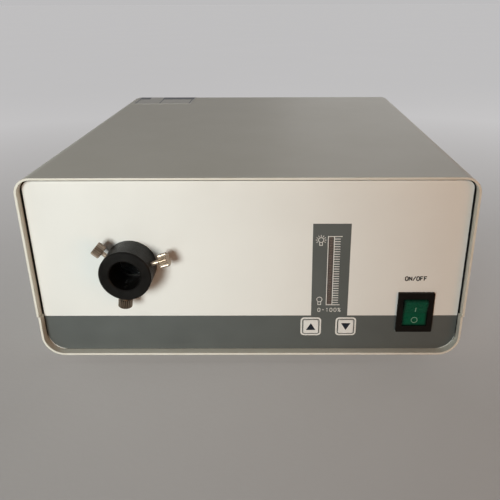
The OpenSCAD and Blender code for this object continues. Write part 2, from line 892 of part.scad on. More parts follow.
module m3_screws() {
    color("silver") {
        for (spot = floor_screw_spots) translate([spot.x, spot.y, foot_h]) m3_screw();
        for (x = rail_panel_xs) {
            to_front(x, inner_y + rail_t, rail_panel_z) m3_screw();
            to_front(x, rear_face_y, rail_panel_z) m3_screw();
        }
        for (x = inlet_screw_xs) to_front(x, inlet_face_y, inlet_z) m3_screw();
    }
}

module blank_label() {
    color("whitesmoke")
        translate([top_radius + label_edge - case_w / 2, rear_y - label_edge - label_d, foot_h + case_h])
            cube([label_w, label_d, label_t]);
}

// Panels
module front_cutouts() {
    translate([port_x, axis_z]) circle(spigot_r + seat_clearance);
    for (x = key_xs)
        translate([x, key_z])
            rounded(key_w + 2 * slide_clearance, key_w + 2 * slide_clearance, key_radius + slide_clearance);
    translate([control_x, bar_z]) box_outline(bar_w + 2 * seat_clearance, bar_l + 2 * seat_clearance);
    translate([switch_x, switch_z])
        box_outline(switch_body_w + 2 * seat_clearance, switch_body_h + 2 * seat_clearance);
}

module front_plate() {
    color("silver") difference() {
        upright(plate_y, plate_t) difference() {
            panel_outline();
            front_cutouts();
        }
        for (x = rail_panel_xs)
            to_front(x, inner_y + 1, rail_panel_z)
                cylinder(h = plate_tap_depth + 1, r = m3_r + tap_clearance);
        for (spot = board_spots)
            to_front(spot.x, inner_y + 1, spot.y)
                cylinder(h = standoff_stud_l + m3_tip_room + 1, r = standoff_stud_r + tap_clearance);
    }
}

module front_overlay() {
    color("ivory") upright(overlay_y, overlay_t) difference() {
        panel_outline();
        front_cutouts();
    }
}

module rail_profile() {
    square([rail_leg, rail_t]);
    square([rail_t, rail_rise]);
}

module rail_bar() {
    translate([-rail_half_l, 0, 0]) rotate([90, 0, 90]) linear_extrude(2 * rail_half_l) rail_profile();
}

module front_rail() {
    color("silver") difference() {
        translate([0, inner_y, floor_z]) rail_bar();
        for (x = rail_screw_xs)
            translate([x, inner_y + rail_floor_reach, floor_z - 1])
                cylinder(h = rail_t + 2, r = m3_r + tap_clearance);
        for (x = rail_panel_xs)
            to_rear(x, inner_y - 1, rail_panel_z) cylinder(h = rail_t + 2, r = m3_r + hole_clearance);
    }
}

module rear_rail() {
    color("silver") difference() {
        translate([0, rear_in_y, floor_z]) mirror([0, 1, 0]) rail_bar();
        for (x = rail_screw_xs)
            translate([x, rear_in_y - rail_floor_reach, floor_z - 1])
                cylinder(h = rail_t + 2, r = m3_r + tap_clearance);
        for (x = rail_panel_xs)
            to_front(x, rear_in_y + 1, rail_panel_z) cylinder(h = rail_t + 2, r = m3_r + tap_clearance);
    }
}

module fan_vents() {
    translate([fan_x, fan_z])
        for (row = [-vent_rows : vent_rows], side = [-1, 1]) {
            reach = sqrt(vent_r * vent_r - row * row * vent_pitch * vent_pitch) - vent_rib / 2;
            if (reach > 2 * vent_w)
                translate([side * (vent_rib + reach) / 2, row * vent_pitch]) slot_outline(reach, vent_w);
        }
}

module rear_panel() {
    color("gainsboro") upright(rear_in_y, sheet) difference() {
        panel_outline();
        fan_vents();
        for (spot = fan_spots) translate(spot) circle(fan_screw_r + hole_clearance);
        for (x = rail_panel_xs) translate([x, rail_panel_z]) circle(m3_r + hole_clearance);
        for (x = inlet_screw_xs) translate([x, inlet_z]) circle(m3_r + tap_clearance);
        translate([inlet_x, inlet_z])
            box_outline(inlet_body_w + 2 * seat_clearance, inlet_body_h + 2 * seat_clearance);
    }
}

// Light port and its clamp
module light_port() {
    shoulder = overlay_y - port_face_y;
    length = port_end_y - port_face_y;
    lens_start = guide_depth + lip_t;
    color("black") difference() {
        to_rear(port_x, port_face_y, axis_z) rotate_extrude()
            polygon([[bore_r + port_chamfer, 0], [port_r - port_chamfer, 0], [port_r, port_chamfer],
                [port_r, shoulder], [spigot_r, shoulder], [spigot_r, length], [lens_seat_r, length],
                [lens_seat_r, lens_start], [lip_r, lens_start], [lip_r, guide_depth],
                [bore_r, guide_depth], [bore_r, port_chamfer]]);
        for (angle = thumb_angles) radial(angle) cylinder(h = port_d, r = shank_hole_r);
    }
}

module port_nut() {
    color("dimgray") to_rear(port_x, inner_y, axis_z) difference() {
        ring(port_nut_d / 2, spigot_r + tap_clearance, port_nut_t);
        for (k = [1 : nut_notches])
            rotate([0, 0, k * 360 / nut_notches])
                translate([port_nut_d / 2, 0, 0])
                    cube([2 * nut_notch_depth, nut_notch_w, 3 * port_nut_t], center = true);
    }
}

module condenser_lens() {
    color("lightcyan") to_rear(port_x, lens_y, axis_z) {
        cylinder(h = lens_edge, r = lens_r);
        intersection() {
            translate([0, 0, sqrt(lens_sphere_r * lens_sphere_r - lip_r * lip_r)]) sphere(lens_sphere_r);
            translate([0, 0, -lens_sphere_r])
                cylinder(h = lens_sphere_r + lens_edge / 2, r = lip_r - seat_clearance);
        }
    }
}

module lens_ring() {
    color("dimgray") to_rear(port_x, lens_ring_y, axis_z) ring(lens_r, lens_r - lens_ring_wall, lens_ring_l);
}

module knurled_head() {
    intersection() {
        linear_extrude(thumb_l)
            polygon([for (k = [0 : 2 * knurl_teeth - 1])
                let (r = k % 2 == 0 ? thumb_r + knurl_trim : thumb_r - knurl_depth, a = 180 * k / knurl_teeth)
                [r * cos(a), r * sin(a)]]);
        rotate_extrude()
            polygon([[0, 0], [thumb_r - thumb_chamfer, 0], [thumb_r, thumb_chamfer],
                [thumb_r, thumb_l - thumb_chamfer], [thumb_r - thumb_chamfer, thumb_l], [0, thumb_l]]);
    }
}

module thumbscrew(n) {
    thread_l = shank_l - tip_l;
    color("gainsboro") radial(thumb_angles[n]) translate([0, 0, port_r + thumb_gaps[n]]) difference() {
        union() {
            knurled_head();
            translate([0, 0, -thread_l]) cylinder(h = thread_l + thumb_l / 2, r = shank_r);
        }
        translate([0, 0, -thread_l - 1]) cylinder(h = stem_l + stem_end_room + 1, r = stem_hole_r);
    }
}

module clamp_tip(n) {
    color("ivory") radial(thumb_angles[n]) translate([0, 0, port_r + thumb_gaps[n] - shank_l]) {
        cylinder(h = tip_l, r = tip_r);
        cylinder(h = tip_l + stem_l, r = stem_r);
    }
}

module thumbscrew_left() {
    thumbscrew(0);
}

module thumbscrew_right() {
    thumbscrew(1);
}

module thumbscrew_lower() {
    thumbscrew(2);
}

module clamp_tip_left() {
    clamp_tip(0);
}

module clamp_tip_right() {
    clamp_tip(1);
}

module clamp_tip_lower() {
    clamp_tip(2);
}

// Optics behind the port
module optics_bracket() {
    color("silver") difference() {
        union() {
            translate([bracket_low_x, bracket_y, floor_z])
                cube([bracket_high_x - bracket_low_x, bracket_t, bracket_high_z - floor_z]);
            translate([bracket_low_x, bracket_y, floor_z])
                cube([bracket_high_x - bracket_low_x, bracket_leg, bracket_t]);
        }
        to_rear(port_x, bracket_y - 1, axis_z) cylinder(h = bracket_t + 2, r = beam_r);
        to_rear(shaft_x, bracket_y - 1, axis_z)
            cylinder(h = bracket_t + 2, r = motor_boss_r + seat_clearance);
        for (x = [bracket_low_x + bracket_screw_inset, bracket_high_x - bracket_screw_inset])
            translate([x, bracket_screw_y, floor_z - 1])
                cylinder(h = bracket_t + 2, r = m3_r + tap_clearance);
    }
}

module heat_filter() {
    color("palegreen") to_rear(port_x, bracket_back_y, axis_z) cylinder(h = filter_t, r = filter_r);
}

module filter_ring() {
    pocket_r = filter_r + seat_clearance;
    color("dimgray") to_rear(port_x, bracket_back_y, axis_z) difference() {
        cylinder(h = filter_t + filter_ring_lip, r = pocket_r + filter_ring_wall);
        translate([0, 0, -1]) cylinder(h = filter_t + 1, r = pocket_r);
        cylinder(h = filter_t + filter_ring_lip + 1, r = filter_r - filter_ring_lip);
    }
}

module attenuator_motor() {
    color("slategray") difference() {
        to_rear(shaft_x, bracket_back_y, axis_z) union() {
            cylinder(h = motor_l, r = motor_r);
            translate([0, 0, -motor_boss_l]) cylinder(h = motor_boss_l + 1, r = motor_boss_r);
        }
        to_rear(shaft_x, bracket_y - 1, axis_z)
            cylinder(h = bracket_t + motor_l / 2 + 1, r = shaft_r + run_clearance);
    }
}

module attenuator_shaft() {
    front = wheel_y - hub_l;
    color("silver") to_rear(shaft_x, front, axis_z)
        cylinder(h = bracket_back_y + motor_l / 2 - m3_tip_room - front, r = shaft_r);
}

module attenuator_wheel() {
    color("dimgray") to_rear(shaft_x, wheel_y, axis_z) difference() {
        union() {
            cylinder(h = wheel_t, r = wheel_r);
            translate([0, 0, -hub_l]) cylinder(h = hub_l + wheel_t, r = hub_r);
        }
        translate([0, 0, -hub_l - 1]) cylinder(h = hub_l + wheel_t + 2, r = shaft_r + tap_clearance);
        for (k = [0 : wheel_holes - 1])
            rotate([0, 0, 180 + k * wheel_step]) translate([wheel_pitch, 0, -1])
                cylinder(h = wheel_t + 2,
                    r = wheel_hole_max - k * (wheel_hole_max - wheel_hole_min) / (wheel_holes - 1));
    }
}

// Lamp module
module xenon_lamp() {
    color("white") to_rear(port_x, lamp_y, axis_z) rotate_extrude()
        polygon([[0, window_depth], [window_r + tap_clearance, window_depth], [window_r + tap_clearance, 0],
            [lamp_r, 0], [lamp_r, collar_l], [lamp_waist_r, collar_l], [lamp_waist_r, lamp_l - collar_l],
            [lamp_r, lamp_l - collar_l], [lamp_r, lamp_l], [0, lamp_l]]);
}

module lamp_window() {
    color("lightcyan") to_rear(port_x, lamp_y + window_depth - window_t, axis_z)
        cylinder(h = window_t, r = window_r);
}

module finned_sink(y) {
    color("silver") difference() {
        upright(y, heatsink_l) difference() {
            union() {
                translate([port_x, axis_z]) {
                    circle(sink_ring_r);
                    for (k = [0 : fin_count - 1])
                        rotate(k * 360 / fin_count)
                            translate([sink_bore_r, -fin_t / 2]) square([heatsink_r - sink_bore_r, fin_t]);
                }
                translate([port_x - sink_web_w / 2, sink_foot_z])
                    square([sink_web_w, axis_z - lamp_r - sink_foot_z]);
                translate([port_x - sink_foot_half_w, sink_foot_z])
                    square([2 * sink_foot_half_w, sink_foot_t]);
            }
            translate([port_x, axis_z]) circle(sink_bore_r);
        }
        for (side = [-1, 1])
            translate([port_x + side * post_dx, y + heatsink_l / 2, sink_foot_z - 1])
                cylinder(h = sink_foot_t + 2, r = post_stud_r + hole_clearance);
    }
}

module front_heatsink() {
    finned_sink(front_sink_y);
}

module rear_heatsink() {
    finned_sink(rear_sink_y);
}

module lamp_posts() {
    post_h = sink_foot_z - floor_z;
    color("ivory") for (spot = post_spots) translate([spot.x, spot.y, floor_z]) difference() {
        union() {
            cylinder(h = post_h, r = post_r);
            cylinder(h = post_h + sink_foot_t + post_head_h, r = post_stud_r);
            translate([0, 0, post_h + sink_foot_t]) cylinder(h = post_head_h, r = post_head_r);
        }
        translate([0, 0, -1]) cylinder(h = tap_depth + 1, r = m3_r + tap_clearance);
    }
}

module igniter() {
    color("darkslategray") difference() {
        union() {
            translate([port_x, igniter_y, floor_z]) linear_extrude(igniter_h)
                rounded(igniter_w, igniter_d, igniter_radius);
            for (side = [-1, 1])
                translate([port_x + side * terminal_post_dx, igniter_y, floor_z + igniter_h])
                    cylinder(h = terminal_post_h, r = terminal_post_r);
        }
        for (spot = igniter_spots)
            translate([spot.x, spot.y, floor_z - 1]) cylinder(h = tap_depth + 1, r = m3_r + tap_clearance);
    }
}

module igniter_leads() {
    color("firebrick") {
        tube(front_lead, lead_r);
        tube(rear_lead, lead_r);
    }
}

// Power supply
module psu_board() {
    color("darkgreen") difference() {
        translate([psu_x - psu_w / 2, psu_y - psu_d / 2, floor_z + psu_gap]) cube([psu_w, psu_d, board_t]);
        for (spot = psu_spots)
            translate([spot.x, spot.y, floor_z])
                cylinder(h = psu_gap + board_t + 1, r = standoff_stud_r + hole_clearance);
    }
}

module psu_standoffs() {
    color("ivory") for (spot = psu_spots) translate([spot.x, spot.y, floor_z]) difference() {
        union() {
            cylinder(h = psu_gap, r = standoff_r);
            cylinder(h = psu_gap + board_t + standoff_head_h, r = standoff_stud_r);
            translate([0, 0, psu_gap + board_t]) cylinder(h = standoff_head_h, r = standoff_head_r);
        }
        translate([0, 0, -1]) cylinder(h = tap_depth + 1, r = m3_r + tap_clearance);
    }
}

module psu_transformer() {
    color("saddlebrown") translate([transformer_x, transformer_y, psu_top_z]) {
        translate([-core_w / 2, -core_d / 2, 0]) cube([core_w, core_d, core_h]);
        translate([-winding_w / 2, -winding_d / 2, (core_h - winding_h) / 2])
            cube([winding_w, winding_d, winding_h]);
    }
}

module psu_capacitors() {
    color("midnightblue") for (k = [0 : capacitor_count - 1])
        translate([capacitor_x, psu_y + (k - (capacitor_count - 1) / 2) * capacitor_pitch, psu_top_z])
            cylinder(h = capacitor_h, r = capacitor_r);
}

module psu_heatsink() {
    fin_step = (comb_w - fin_t) / (comb_fins - 1);
    color("silver") translate([comb_x, comb_y - comb_l / 2, psu_top_z]) upright(0, comb_l) {
        translate([-comb_w / 2, 0]) square([comb_w, comb_base_t]);
        for (k = [0 : comb_fins - 1])
            translate([k * fin_step - comb_w / 2, 0]) square([fin_t, comb_h]);
    }
}

// Control board
module control_board() {
    color("darkgreen") upright(board_y, board_t) difference() {
        translate([control_x - board_w / 2, board_low_z]) square([board_w, board_high_z - board_low_z]);
        for (spot = board_spots) translate(spot) circle(standoff_stud_r + hole_clearance);
    }
}

module board_standoffs() {
    color("ivory") for (spot = board_spots) to_rear(spot.x, inner_y, spot.y) {
        translate([0, 0, -standoff_stud_l])
            cylinder(h = standoff_stud_l + board_gap + board_t + standoff_head_h, r = standoff_stud_r);
        cylinder(h = board_gap, r = standoff_r);
        translate([0, 0, board_gap + board_t]) cylinder(h = standoff_head_h, r = standoff_head_r);
    }
}

module bar_display() {
    color("darkred") translate([control_x, 0, bar_z]) {
        upright(overlay_y + bar_set_back, board_y - overlay_y - bar_set_back) box_outline(bar_w, bar_l);
        upright(board_y - bar_block_t, bar_block_t) box_outline(bar_block_w, bar_block_l);
    }
}

module tact_switches() {
    well = actuator_engage + key_travel + tact_floor_room;
    color("dimgray") for (x = key_xs) difference() {
        translate([x, 0, key_z]) upright(board_y - tact_h, tact_h) box_outline(tact_w, tact_w);
        to_rear(x, board_y - tact_h - 1, key_z) cylinder(h = well + 1, r = actuator_r + run_clearance);
    }
}

module key(x) {
    tail = board_gap - tact_h + actuator_engage;
    color("white") {
        translate([x, 0, key_z]) {
            upright(overlay_y - key_proud, key_proud + overlay_t + plate_t) rounded(key_w, key_w, key_radius);
            upright(inner_y, key_flange_t) box_outline(key_flange_w, key_flange_w);
        }
        to_rear(x, inner_y, key_z) cylinder(h = tail, r = actuator_r);
    }
}

module brighter_key() {
    key(brighter_x);
}

module dimmer_key() {
    key(dimmer_x);
}

// Rocker switch
module along_x_at_pivot(l, r) {
    translate([switch_x - l / 2, pivot_y, switch_z]) rotate([0, 90, 0]) cylinder(h = l, r = r);
}

module switch_housing() {
    color("black") difference() {
        translate([switch_x, 0, switch_z]) {
            upright(overlay_y - bezel_t, bezel_t) rounded(bezel_w, bezel_h, bezel_radius);
            upright(overlay_y, switch_depth) box_outline(switch_body_w, switch_body_h);
        }
        along_x_at_pivot(rocker_w + 2 * slide_clearance, rocker_r + slide_clearance);
        along_x_at_pivot(rocker_w + 2 * (pin_l + pin_end_room), pin_r + run_clearance);
    }
}

module rocker() {
    reach = rocker_r + 1;
    rise = rocker_mid + reach * tan(rocker_tilt);
    color("darkgreen") {
        translate([switch_x - rocker_w / 2, pivot_y, switch_z]) rotate([rocker_tilt, 0, 0])
            rotate([90, 0, 90]) linear_extrude(rocker_w) intersection() {
                circle(rocker_r);
                polygon([[-rise, reach], [-rocker_mid, 0], [-rise, -reach], [rocker_back, -reach],
                    [rocker_back, reach]]);
            }
        along_x_at_pivot(rocker_w + 2 * pin_l, pin_r);
    }
}

module switch_terminals() {
    color("goldenrod") for (step = terminal_steps)
        translate([switch_x - terminal_w / 2, overlay_y + switch_depth, switch_z + step - terminal_t / 2])
            cube([terminal_w, terminal_l, terminal_t]);
}

// Fan
module fan_frame() {
    color("black") difference() {
        union() {
            upright(fan_y, fan_depth) translate([fan_x, fan_z]) difference() {
                rounded(fan_size, fan_size, fan_radius);
                circle(fan_bore_r);
            }
            upright(rear_in_y - fan_plate_t, fan_plate_t) translate([fan_x, fan_z]) {
                circle(fan_plate_r);
                for (turn = [45, 135]) rotate(turn) box_outline(2 * fan_bore_r + 1, fan_strut_w);
            }
        }
        for (spot = fan_spots)
            to_rear(spot.x, fan_y - 1, spot.y) cylinder(h = fan_depth + 2, r = fan_screw_r + tap_clearance);
        to_rear(fan_x, fan_y, fan_z) cylinder(h = fan_depth + 1, r = fan_shaft_r + run_clearance);
    }
}

module fan_rotor() {
    hub_end = fan_depth - fan_plate_t - fan_hub_gap;
    hub_len = hub_end - fan_hub_front;
    blade_reach = fan_bore_r - fan_tip_gap;
    color("black") to_rear(fan_x, fan_y, fan_z) {
        translate([0, 0, fan_hub_front]) cylinder(h = hub_len, r = fan_hub_r);
        cylinder(h = fan_depth - m3_tip_room, r = fan_shaft_r);
        intersection() {
            translate([0, 0, fan_hub_front]) cylinder(h = hub_len, r = blade_reach);
            for (k = [0 : blade_count - 1])
                rotate([0, 0, k * 360 / blade_count])
                    translate([fan_hub_r - 1, 0, fan_hub_front + hub_len / 2]) rotate([blade_pitch, 0, 0])
                        translate([0, -fan_size / 2, -blade_t / 2]) cube([fan_size / 2, fan_size, blade_t]);
        }
    }
}

module fan_screws() {
    color("silver") for (spot = fan_spots) to_front(spot.x, rear_face_y, spot.y) difference() {
        union() {
            translate([0, 0, -fan_screw_head_h]) cylinder(h = fan_screw_head_h, r = fan_screw_head_r);
            cylinder(h = fan_screw_l, r = fan_screw_r);
        }
        cross_recess(-fan_screw_head_h);
    }
}

// Mains inlet
module socket_outline(grow) {
    half_w = socket_w / 2 + grow;
    half_h = socket_h / 2 + grow;
    polygon([[-half_w, -half_h], [half_w, -half_h], [half_w, half_h - socket_bevel],
        [half_w - socket_bevel, half_h], [socket_bevel - half_w, half_h], [-half_w, half_h - socket_bevel]]);
}

module blade_outlines(grow) {
    spots = [[-pin_side, -pin_drop], [pin_side, -pin_drop], [0, earth_rise]];
    translate([0, socket_rise])
        for (spot = spots) translate(spot) box_outline(blade_w + 2 * grow, blade_h + 2 * grow);
}

module mains_inlet() {
    color("black") translate([inlet_x, 0, inlet_z]) difference() {
        union() {
            upright(rear_face_y, flange_t) rounded(flange_w, flange_h, flange_radius);
            upright(inlet_back_y, inlet_depth) box_outline(inlet_body_w, inlet_body_h);
        }
        upright(inlet_face_y - socket_depth, socket_depth + 1) translate([0, socket_rise]) socket_outline(0);
        upright(inlet_back_y - 1, inlet_depth) blade_outlines(tap_clearance);
        upright(inlet_face_y - slot_depth, slot_depth + 1)
            translate([0, -slot_drop]) box_outline(slot_w, slot_h);
        for (side = [-1, 1])
            to_rear(side * inlet_screw_dx, rear_face_y - 1, 0)
                cylinder(h = flange_t + 2, r = m3_r + hole_clearance);
    }
}

module inlet_pins() {
    front = inlet_face_y - socket_depth + blade_l;
    color("goldenrod") translate([inlet_x, 0, inlet_z])
        upright(inlet_back_y - tab_l, front - inlet_back_y + tab_l) blade_outlines(0);
}

module fuse_drawer() {
    trough_y = inlet_face_y - fuse_set_back;
    color("dimgray") difference() {
        translate([inlet_x, 0, inlet_z - slot_drop]) {
            upright(inlet_face_y, drawer_face_t) rounded(drawer_face_w, drawer_face_h, drawer_face_radius);
            upright(inlet_face_y - drawer_l, drawer_l) box_outline(drawer_w, drawer_h);
        }
        translate([inlet_x - fuse_l / 2 - fuse_room, trough_y - fuse_r - fuse_room, inlet_z - slot_drop])
            cube([fuse_l + 2 * fuse_room, 2 * (fuse_r + fuse_room), slot_h]);
        translate([inlet_x - fuse_l / 2 - fuse_room, trough_y, inlet_z - slot_drop]) rotate([0, 90, 0])
            cylinder(h = fuse_l + 2 * fuse_room, r = fuse_r + fuse_room);
    }
}

module fuse() {
    color("lightcyan") translate([inlet_x - fuse_l / 2, inlet_face_y - fuse_set_back, inlet_z - slot_drop])
        rotate([0, 90, 0]) cylinder(h = fuse_l, r = fuse_r);
}

module earth_stud() {
    color("goldenrod") translate([stud_x, stud_y, floor_z]) {
        cylinder(h = stud_flange_t, r = stud_flange_r);
        cylinder(h = stud_h, r = stud_r);
        translate([0, 0, stud_flange_t]) cylinder(h = stud_nut_h, r = stud_nut_r, $fn = 6);
    }
}

module inner_wires() {
    color("sienna") for (route = wire_routes) tube(route, wire_r);
}

base_tray();
top_cover();
side_strips();
case_screws();
rubber_feet();
foot_screws();
foot_nuts();
m3_screws();
blank_label();
front_plate();
front_overlay();
front_rail();
rear_panel();
rear_rail();
light_port();
port_nut();
condenser_lens();
lens_ring();
thumbscrew_left();
thumbscrew_right();
thumbscrew_lower();
clamp_tip_left();
clamp_tip_right();
clamp_tip_lower();
optics_bracket();
heat_filter();
filter_ring();
attenuator_motor();
attenuator_shaft();
attenuator_wheel();
xenon_lamp();
lamp_window();
front_heatsink();
rear_heatsink();
lamp_posts();
igniter();
igniter_leads();
psu_board();
psu_transformer();
psu_capacitors();
psu_heatsink();
psu_standoffs();
control_board();
board_standoffs();
bar_display();
tact_switches();
brighter_key();
dimmer_key();
switch_housing();
switch_terminals();
rocker();
fan_frame();
fan_rotor();
fan_screws();
mains_inlet();
inlet_pins();
fuse_drawer();
fuse();
earth_stud();
inner_wires();
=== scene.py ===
"""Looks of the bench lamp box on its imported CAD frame: a finish for every node, the print on the front
panel, the marks on keys and rocker, the studio and the camera. Lengths are in metres; print is laid out in
millimetres across the panel, with x to the right and z up from the floor."""

import json
import math

import bmesh
import bpy
from mathutils import Matrix, Vector
from mathutils.bvhtree import BVHTree


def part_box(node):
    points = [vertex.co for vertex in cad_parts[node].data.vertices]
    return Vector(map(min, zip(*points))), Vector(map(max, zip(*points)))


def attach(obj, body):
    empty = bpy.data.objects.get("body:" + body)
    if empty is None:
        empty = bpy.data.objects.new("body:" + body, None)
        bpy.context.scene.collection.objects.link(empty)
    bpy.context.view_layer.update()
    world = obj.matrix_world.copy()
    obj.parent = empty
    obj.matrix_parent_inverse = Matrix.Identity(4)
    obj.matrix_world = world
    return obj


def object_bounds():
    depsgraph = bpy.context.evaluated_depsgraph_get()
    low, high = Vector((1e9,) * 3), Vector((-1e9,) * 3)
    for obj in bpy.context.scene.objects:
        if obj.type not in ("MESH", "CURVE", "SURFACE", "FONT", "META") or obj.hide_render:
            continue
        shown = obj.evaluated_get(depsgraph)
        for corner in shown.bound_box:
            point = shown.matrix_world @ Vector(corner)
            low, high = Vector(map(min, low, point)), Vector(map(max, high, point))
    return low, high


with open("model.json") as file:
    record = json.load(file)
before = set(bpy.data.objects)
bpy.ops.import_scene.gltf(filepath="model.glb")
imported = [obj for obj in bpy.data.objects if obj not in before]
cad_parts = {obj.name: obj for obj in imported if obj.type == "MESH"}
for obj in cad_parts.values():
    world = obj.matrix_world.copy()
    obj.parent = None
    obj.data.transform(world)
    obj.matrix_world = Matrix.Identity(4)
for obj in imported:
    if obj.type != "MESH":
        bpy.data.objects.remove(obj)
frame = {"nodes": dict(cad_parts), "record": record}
nodes = frame["nodes"]
cad_low, cad_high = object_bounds()

MM = 0.001
MICRON = 0.000001


def front_of(node):
    """Where a node is and how large, seen from the front: two (x, z) pairs in millimetres."""
    low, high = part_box(node)
    place = ((low.x + high.x) / 2 / MM, (low.z + high.z) / 2 / MM)
    size = ((high.x - low.x) / MM, (high.z - low.z) / MM)
    return place, size


PANEL_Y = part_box("front_overlay")[0].y
PORT = front_of("light_port")[0]
SWITCH, BEZEL = front_of("switch_housing")
# Width and height of the rocker's face, in millimetres
ROCKER = (17.0, 21.4)


# Camera: its focal length and middle are in pixels of the square image

IMAGE = 500
FOCAL = 583.9
PRINCIPAL = (275.0, 252.9)
SENSOR = 36
NEAREST = 10 * MM
CAMERA_SPOT = (0.0191, -0.5180, 0.2412)
YAW, PITCH, ROLL = (math.radians(angle) for angle in (-0.25, 23.4, -0.2))


def add_camera():
    """The camera that took the photograph."""
    forward = Vector((math.sin(YAW) * math.cos(PITCH), math.cos(YAW) * math.cos(PITCH), -math.sin(PITCH)))
    level = Vector((math.cos(YAW), -math.sin(YAW), 0))
    upright = level.cross(forward)
    right = math.cos(ROLL) * level + math.sin(ROLL) * upright
    up = math.cos(ROLL) * upright - math.sin(ROLL) * level
    data = bpy.data.cameras.new("camera")
    data.sensor_width = SENSOR
    data.lens = SENSOR * FOCAL / IMAGE
    data.shift_x = 0.5 - PRINCIPAL[0] / IMAGE
    data.shift_y = PRINCIPAL[1] / IMAGE - 0.5
    data.clip_start = NEAREST
    camera = bpy.data.objects.new("camera", data)
    turn = Matrix((right, up, -forward)).transposed().to_4x4()
    camera.matrix_world = Matrix.Translation(CAMERA_SPOT) @ turn
    bpy.context.scene.collection.objects.link(camera)
    bpy.context.scene.camera = camera


# Building blocks of the finishes

UNSTRETCHED = (1, 1, 1)
FINE_DETAIL = 2.0
ROUGH_SWING = 0.06
# Sockets of a Mix node that mixes colours
MIX_SHARE, MIX_FROM, MIX_TO, MIX_RESULT = 0, 6, 7, 2


def new_finish(name, sockets):
    """A new material with these plain values on its shader: (material, node tree, shader)."""
    finish = bpy.data.materials.new(name)
    finish.use_nodes = True
    shader = finish.node_tree.nodes["Principled BSDF"]
    for socket, value in sockets.items():
        shader.inputs[socket].default_value = value
    return finish, finish.node_tree, shader


def put(tree, kind, inputs=(), **settings):
    """Adds a node; inputs pairs a socket with a value or with another node's output."""
    made = tree.nodes.new(kind)
    for key, value in settings.items():
        setattr(made, key, value)
    for socket, value in inputs:
        if isinstance(value, bpy.types.NodeSocket):
            tree.links.new(value, made.inputs[socket])
        else:
            made.inputs[socket].default_value = value
    return made


def place_on(tree, stretch=UNSTRETCHED, shift=(0, 0, 0)):
    """Coordinates on the object in metres, stretched and shifted."""
    coords = put(tree, "ShaderNodeTexCoord").outputs["Object"]
    return put(tree, "ShaderNodeMapping",
               [("Vector", coords), ("Scale", stretch), ("Location", shift)]).outputs["Vector"]


def noise(tree, where, size, detail=3.0):
    """A factor that wanders in patches of about that size."""
    return put(tree, "ShaderNodeTexNoise",
               [("Vector", where), ("Scale", 1 / size), ("Detail", detail)]).outputs["Fac"]


def reckon(tree, operation, *values):
    """The output of a Math node."""
    return put(tree, "ShaderNodeMath", enumerate(values), operation=operation).outputs["Value"]


def reckon_vectors(tree, operation, *vectors):
    """The outputs of a Vector Math node."""
    return put(tree, "ShaderNodeVectorMath", enumerate(vectors), operation=operation).outputs


def parts_of(tree, where):
    """The x, y and z of a place."""
    return put(tree, "ShaderNodeSeparateXYZ", [("Vector", where)]).outputs


def distance_to(tree, value, middle):
    """How far a value is from a middle, to either side."""
    return reckon(tree, "ABSOLUTE", reckon(tree, "SUBTRACT", value, middle))


def span(tree, factor, low, high, start=0.3, end=0.7):
    """Maps a factor between start and end to the range from low to high."""
    return put(tree, "ShaderNodeMapRange",
               [("Value", factor), ("From Min", start), ("From Max", end), ("To Min", low),
                ("To Max", high)]).outputs["Result"]


def tones(tree, factor, low, high, start=0.3, end=0.7):
    """Maps a factor to a colour between low and high."""
    ramp = put(tree, "ShaderNodeValToRGB", [("Fac", factor)])
    for stop, place, colour in zip(ramp.color_ramp.elements, (start, end), (low, high)):
        stop.position = place
        stop.color = (*colour, 1)
    return ramp.outputs["Color"]


def cover(tree, share, under, over):
    """A colour that goes from the one under it to the one over it with a share."""
    inputs = [(MIX_SHARE, share), (MIX_FROM, under), (MIX_TO, (*over, 1))]
    return put(tree, "ShaderNodeMix", inputs, data_type="RGBA").outputs[MIX_RESULT]


def colour_by(tree, shader, colour):
    tree.links.new(colour, shader.inputs["Base Color"])


def gloss_by(tree, shader, factor, low, high):
    """Uneven roughness that follows a factor."""
    tree.links.new(span(tree, factor, low, high), shader.inputs["Roughness"])


def relief(tree, shader, factor, depth):
    """Fine relief of that depth on the shader's surface."""
    bump = put(tree, "ShaderNodeBump", [("Height", factor), ("Distance", depth), ("Strength", 1.0)])
    tree.links.new(bump.outputs["Normal"], shader.inputs["Normal"])


def shade(colour, factor):
    return tuple(factor * part for part in colour)


def plain(name, colour, rough, grain, depth, vary=0.08, patch=10 * MM, stretch=UNSTRETCHED, **sockets):
    """A finish around one colour and one roughness, with two-tone patches, uneven gloss and fine relief."""
    named = {key.replace("_", " "): value for key, value in sockets.items()}
    finish, tree, shader = new_finish(name, named)
    where = place_on(tree, stretch)
    gloss_patch = patch / 3
    low, high = shade(colour, 1 - vary), shade(colour, 1 + vary)
    colour_by(tree, shader, tones(tree, noise(tree, where, patch), low, high))
    gloss_by(tree, shader, noise(tree, where, gloss_patch), rough - ROUGH_SWING, rough + ROUGH_SWING)
    relief(tree, shader, noise(tree, where, grain, FINE_DETAIL), depth)
    return finish


def ink(name, colour, vary, rough=0.42):
    """Thin print."""
    return plain(name, colour, rough, grain=0.5 * MM, depth=4 * MICRON, vary=vary)


def metal(name, colour, rough, stretch=UNSTRETCHED):
    """Bare metal, with a grain that is finer along an axis that is stretched."""
    return plain(name, colour, rough, grain=0.6 * MM, depth=4 * MICRON, vary=0.06, patch=6 * MM,
                 stretch=stretch, Metallic=1.0)


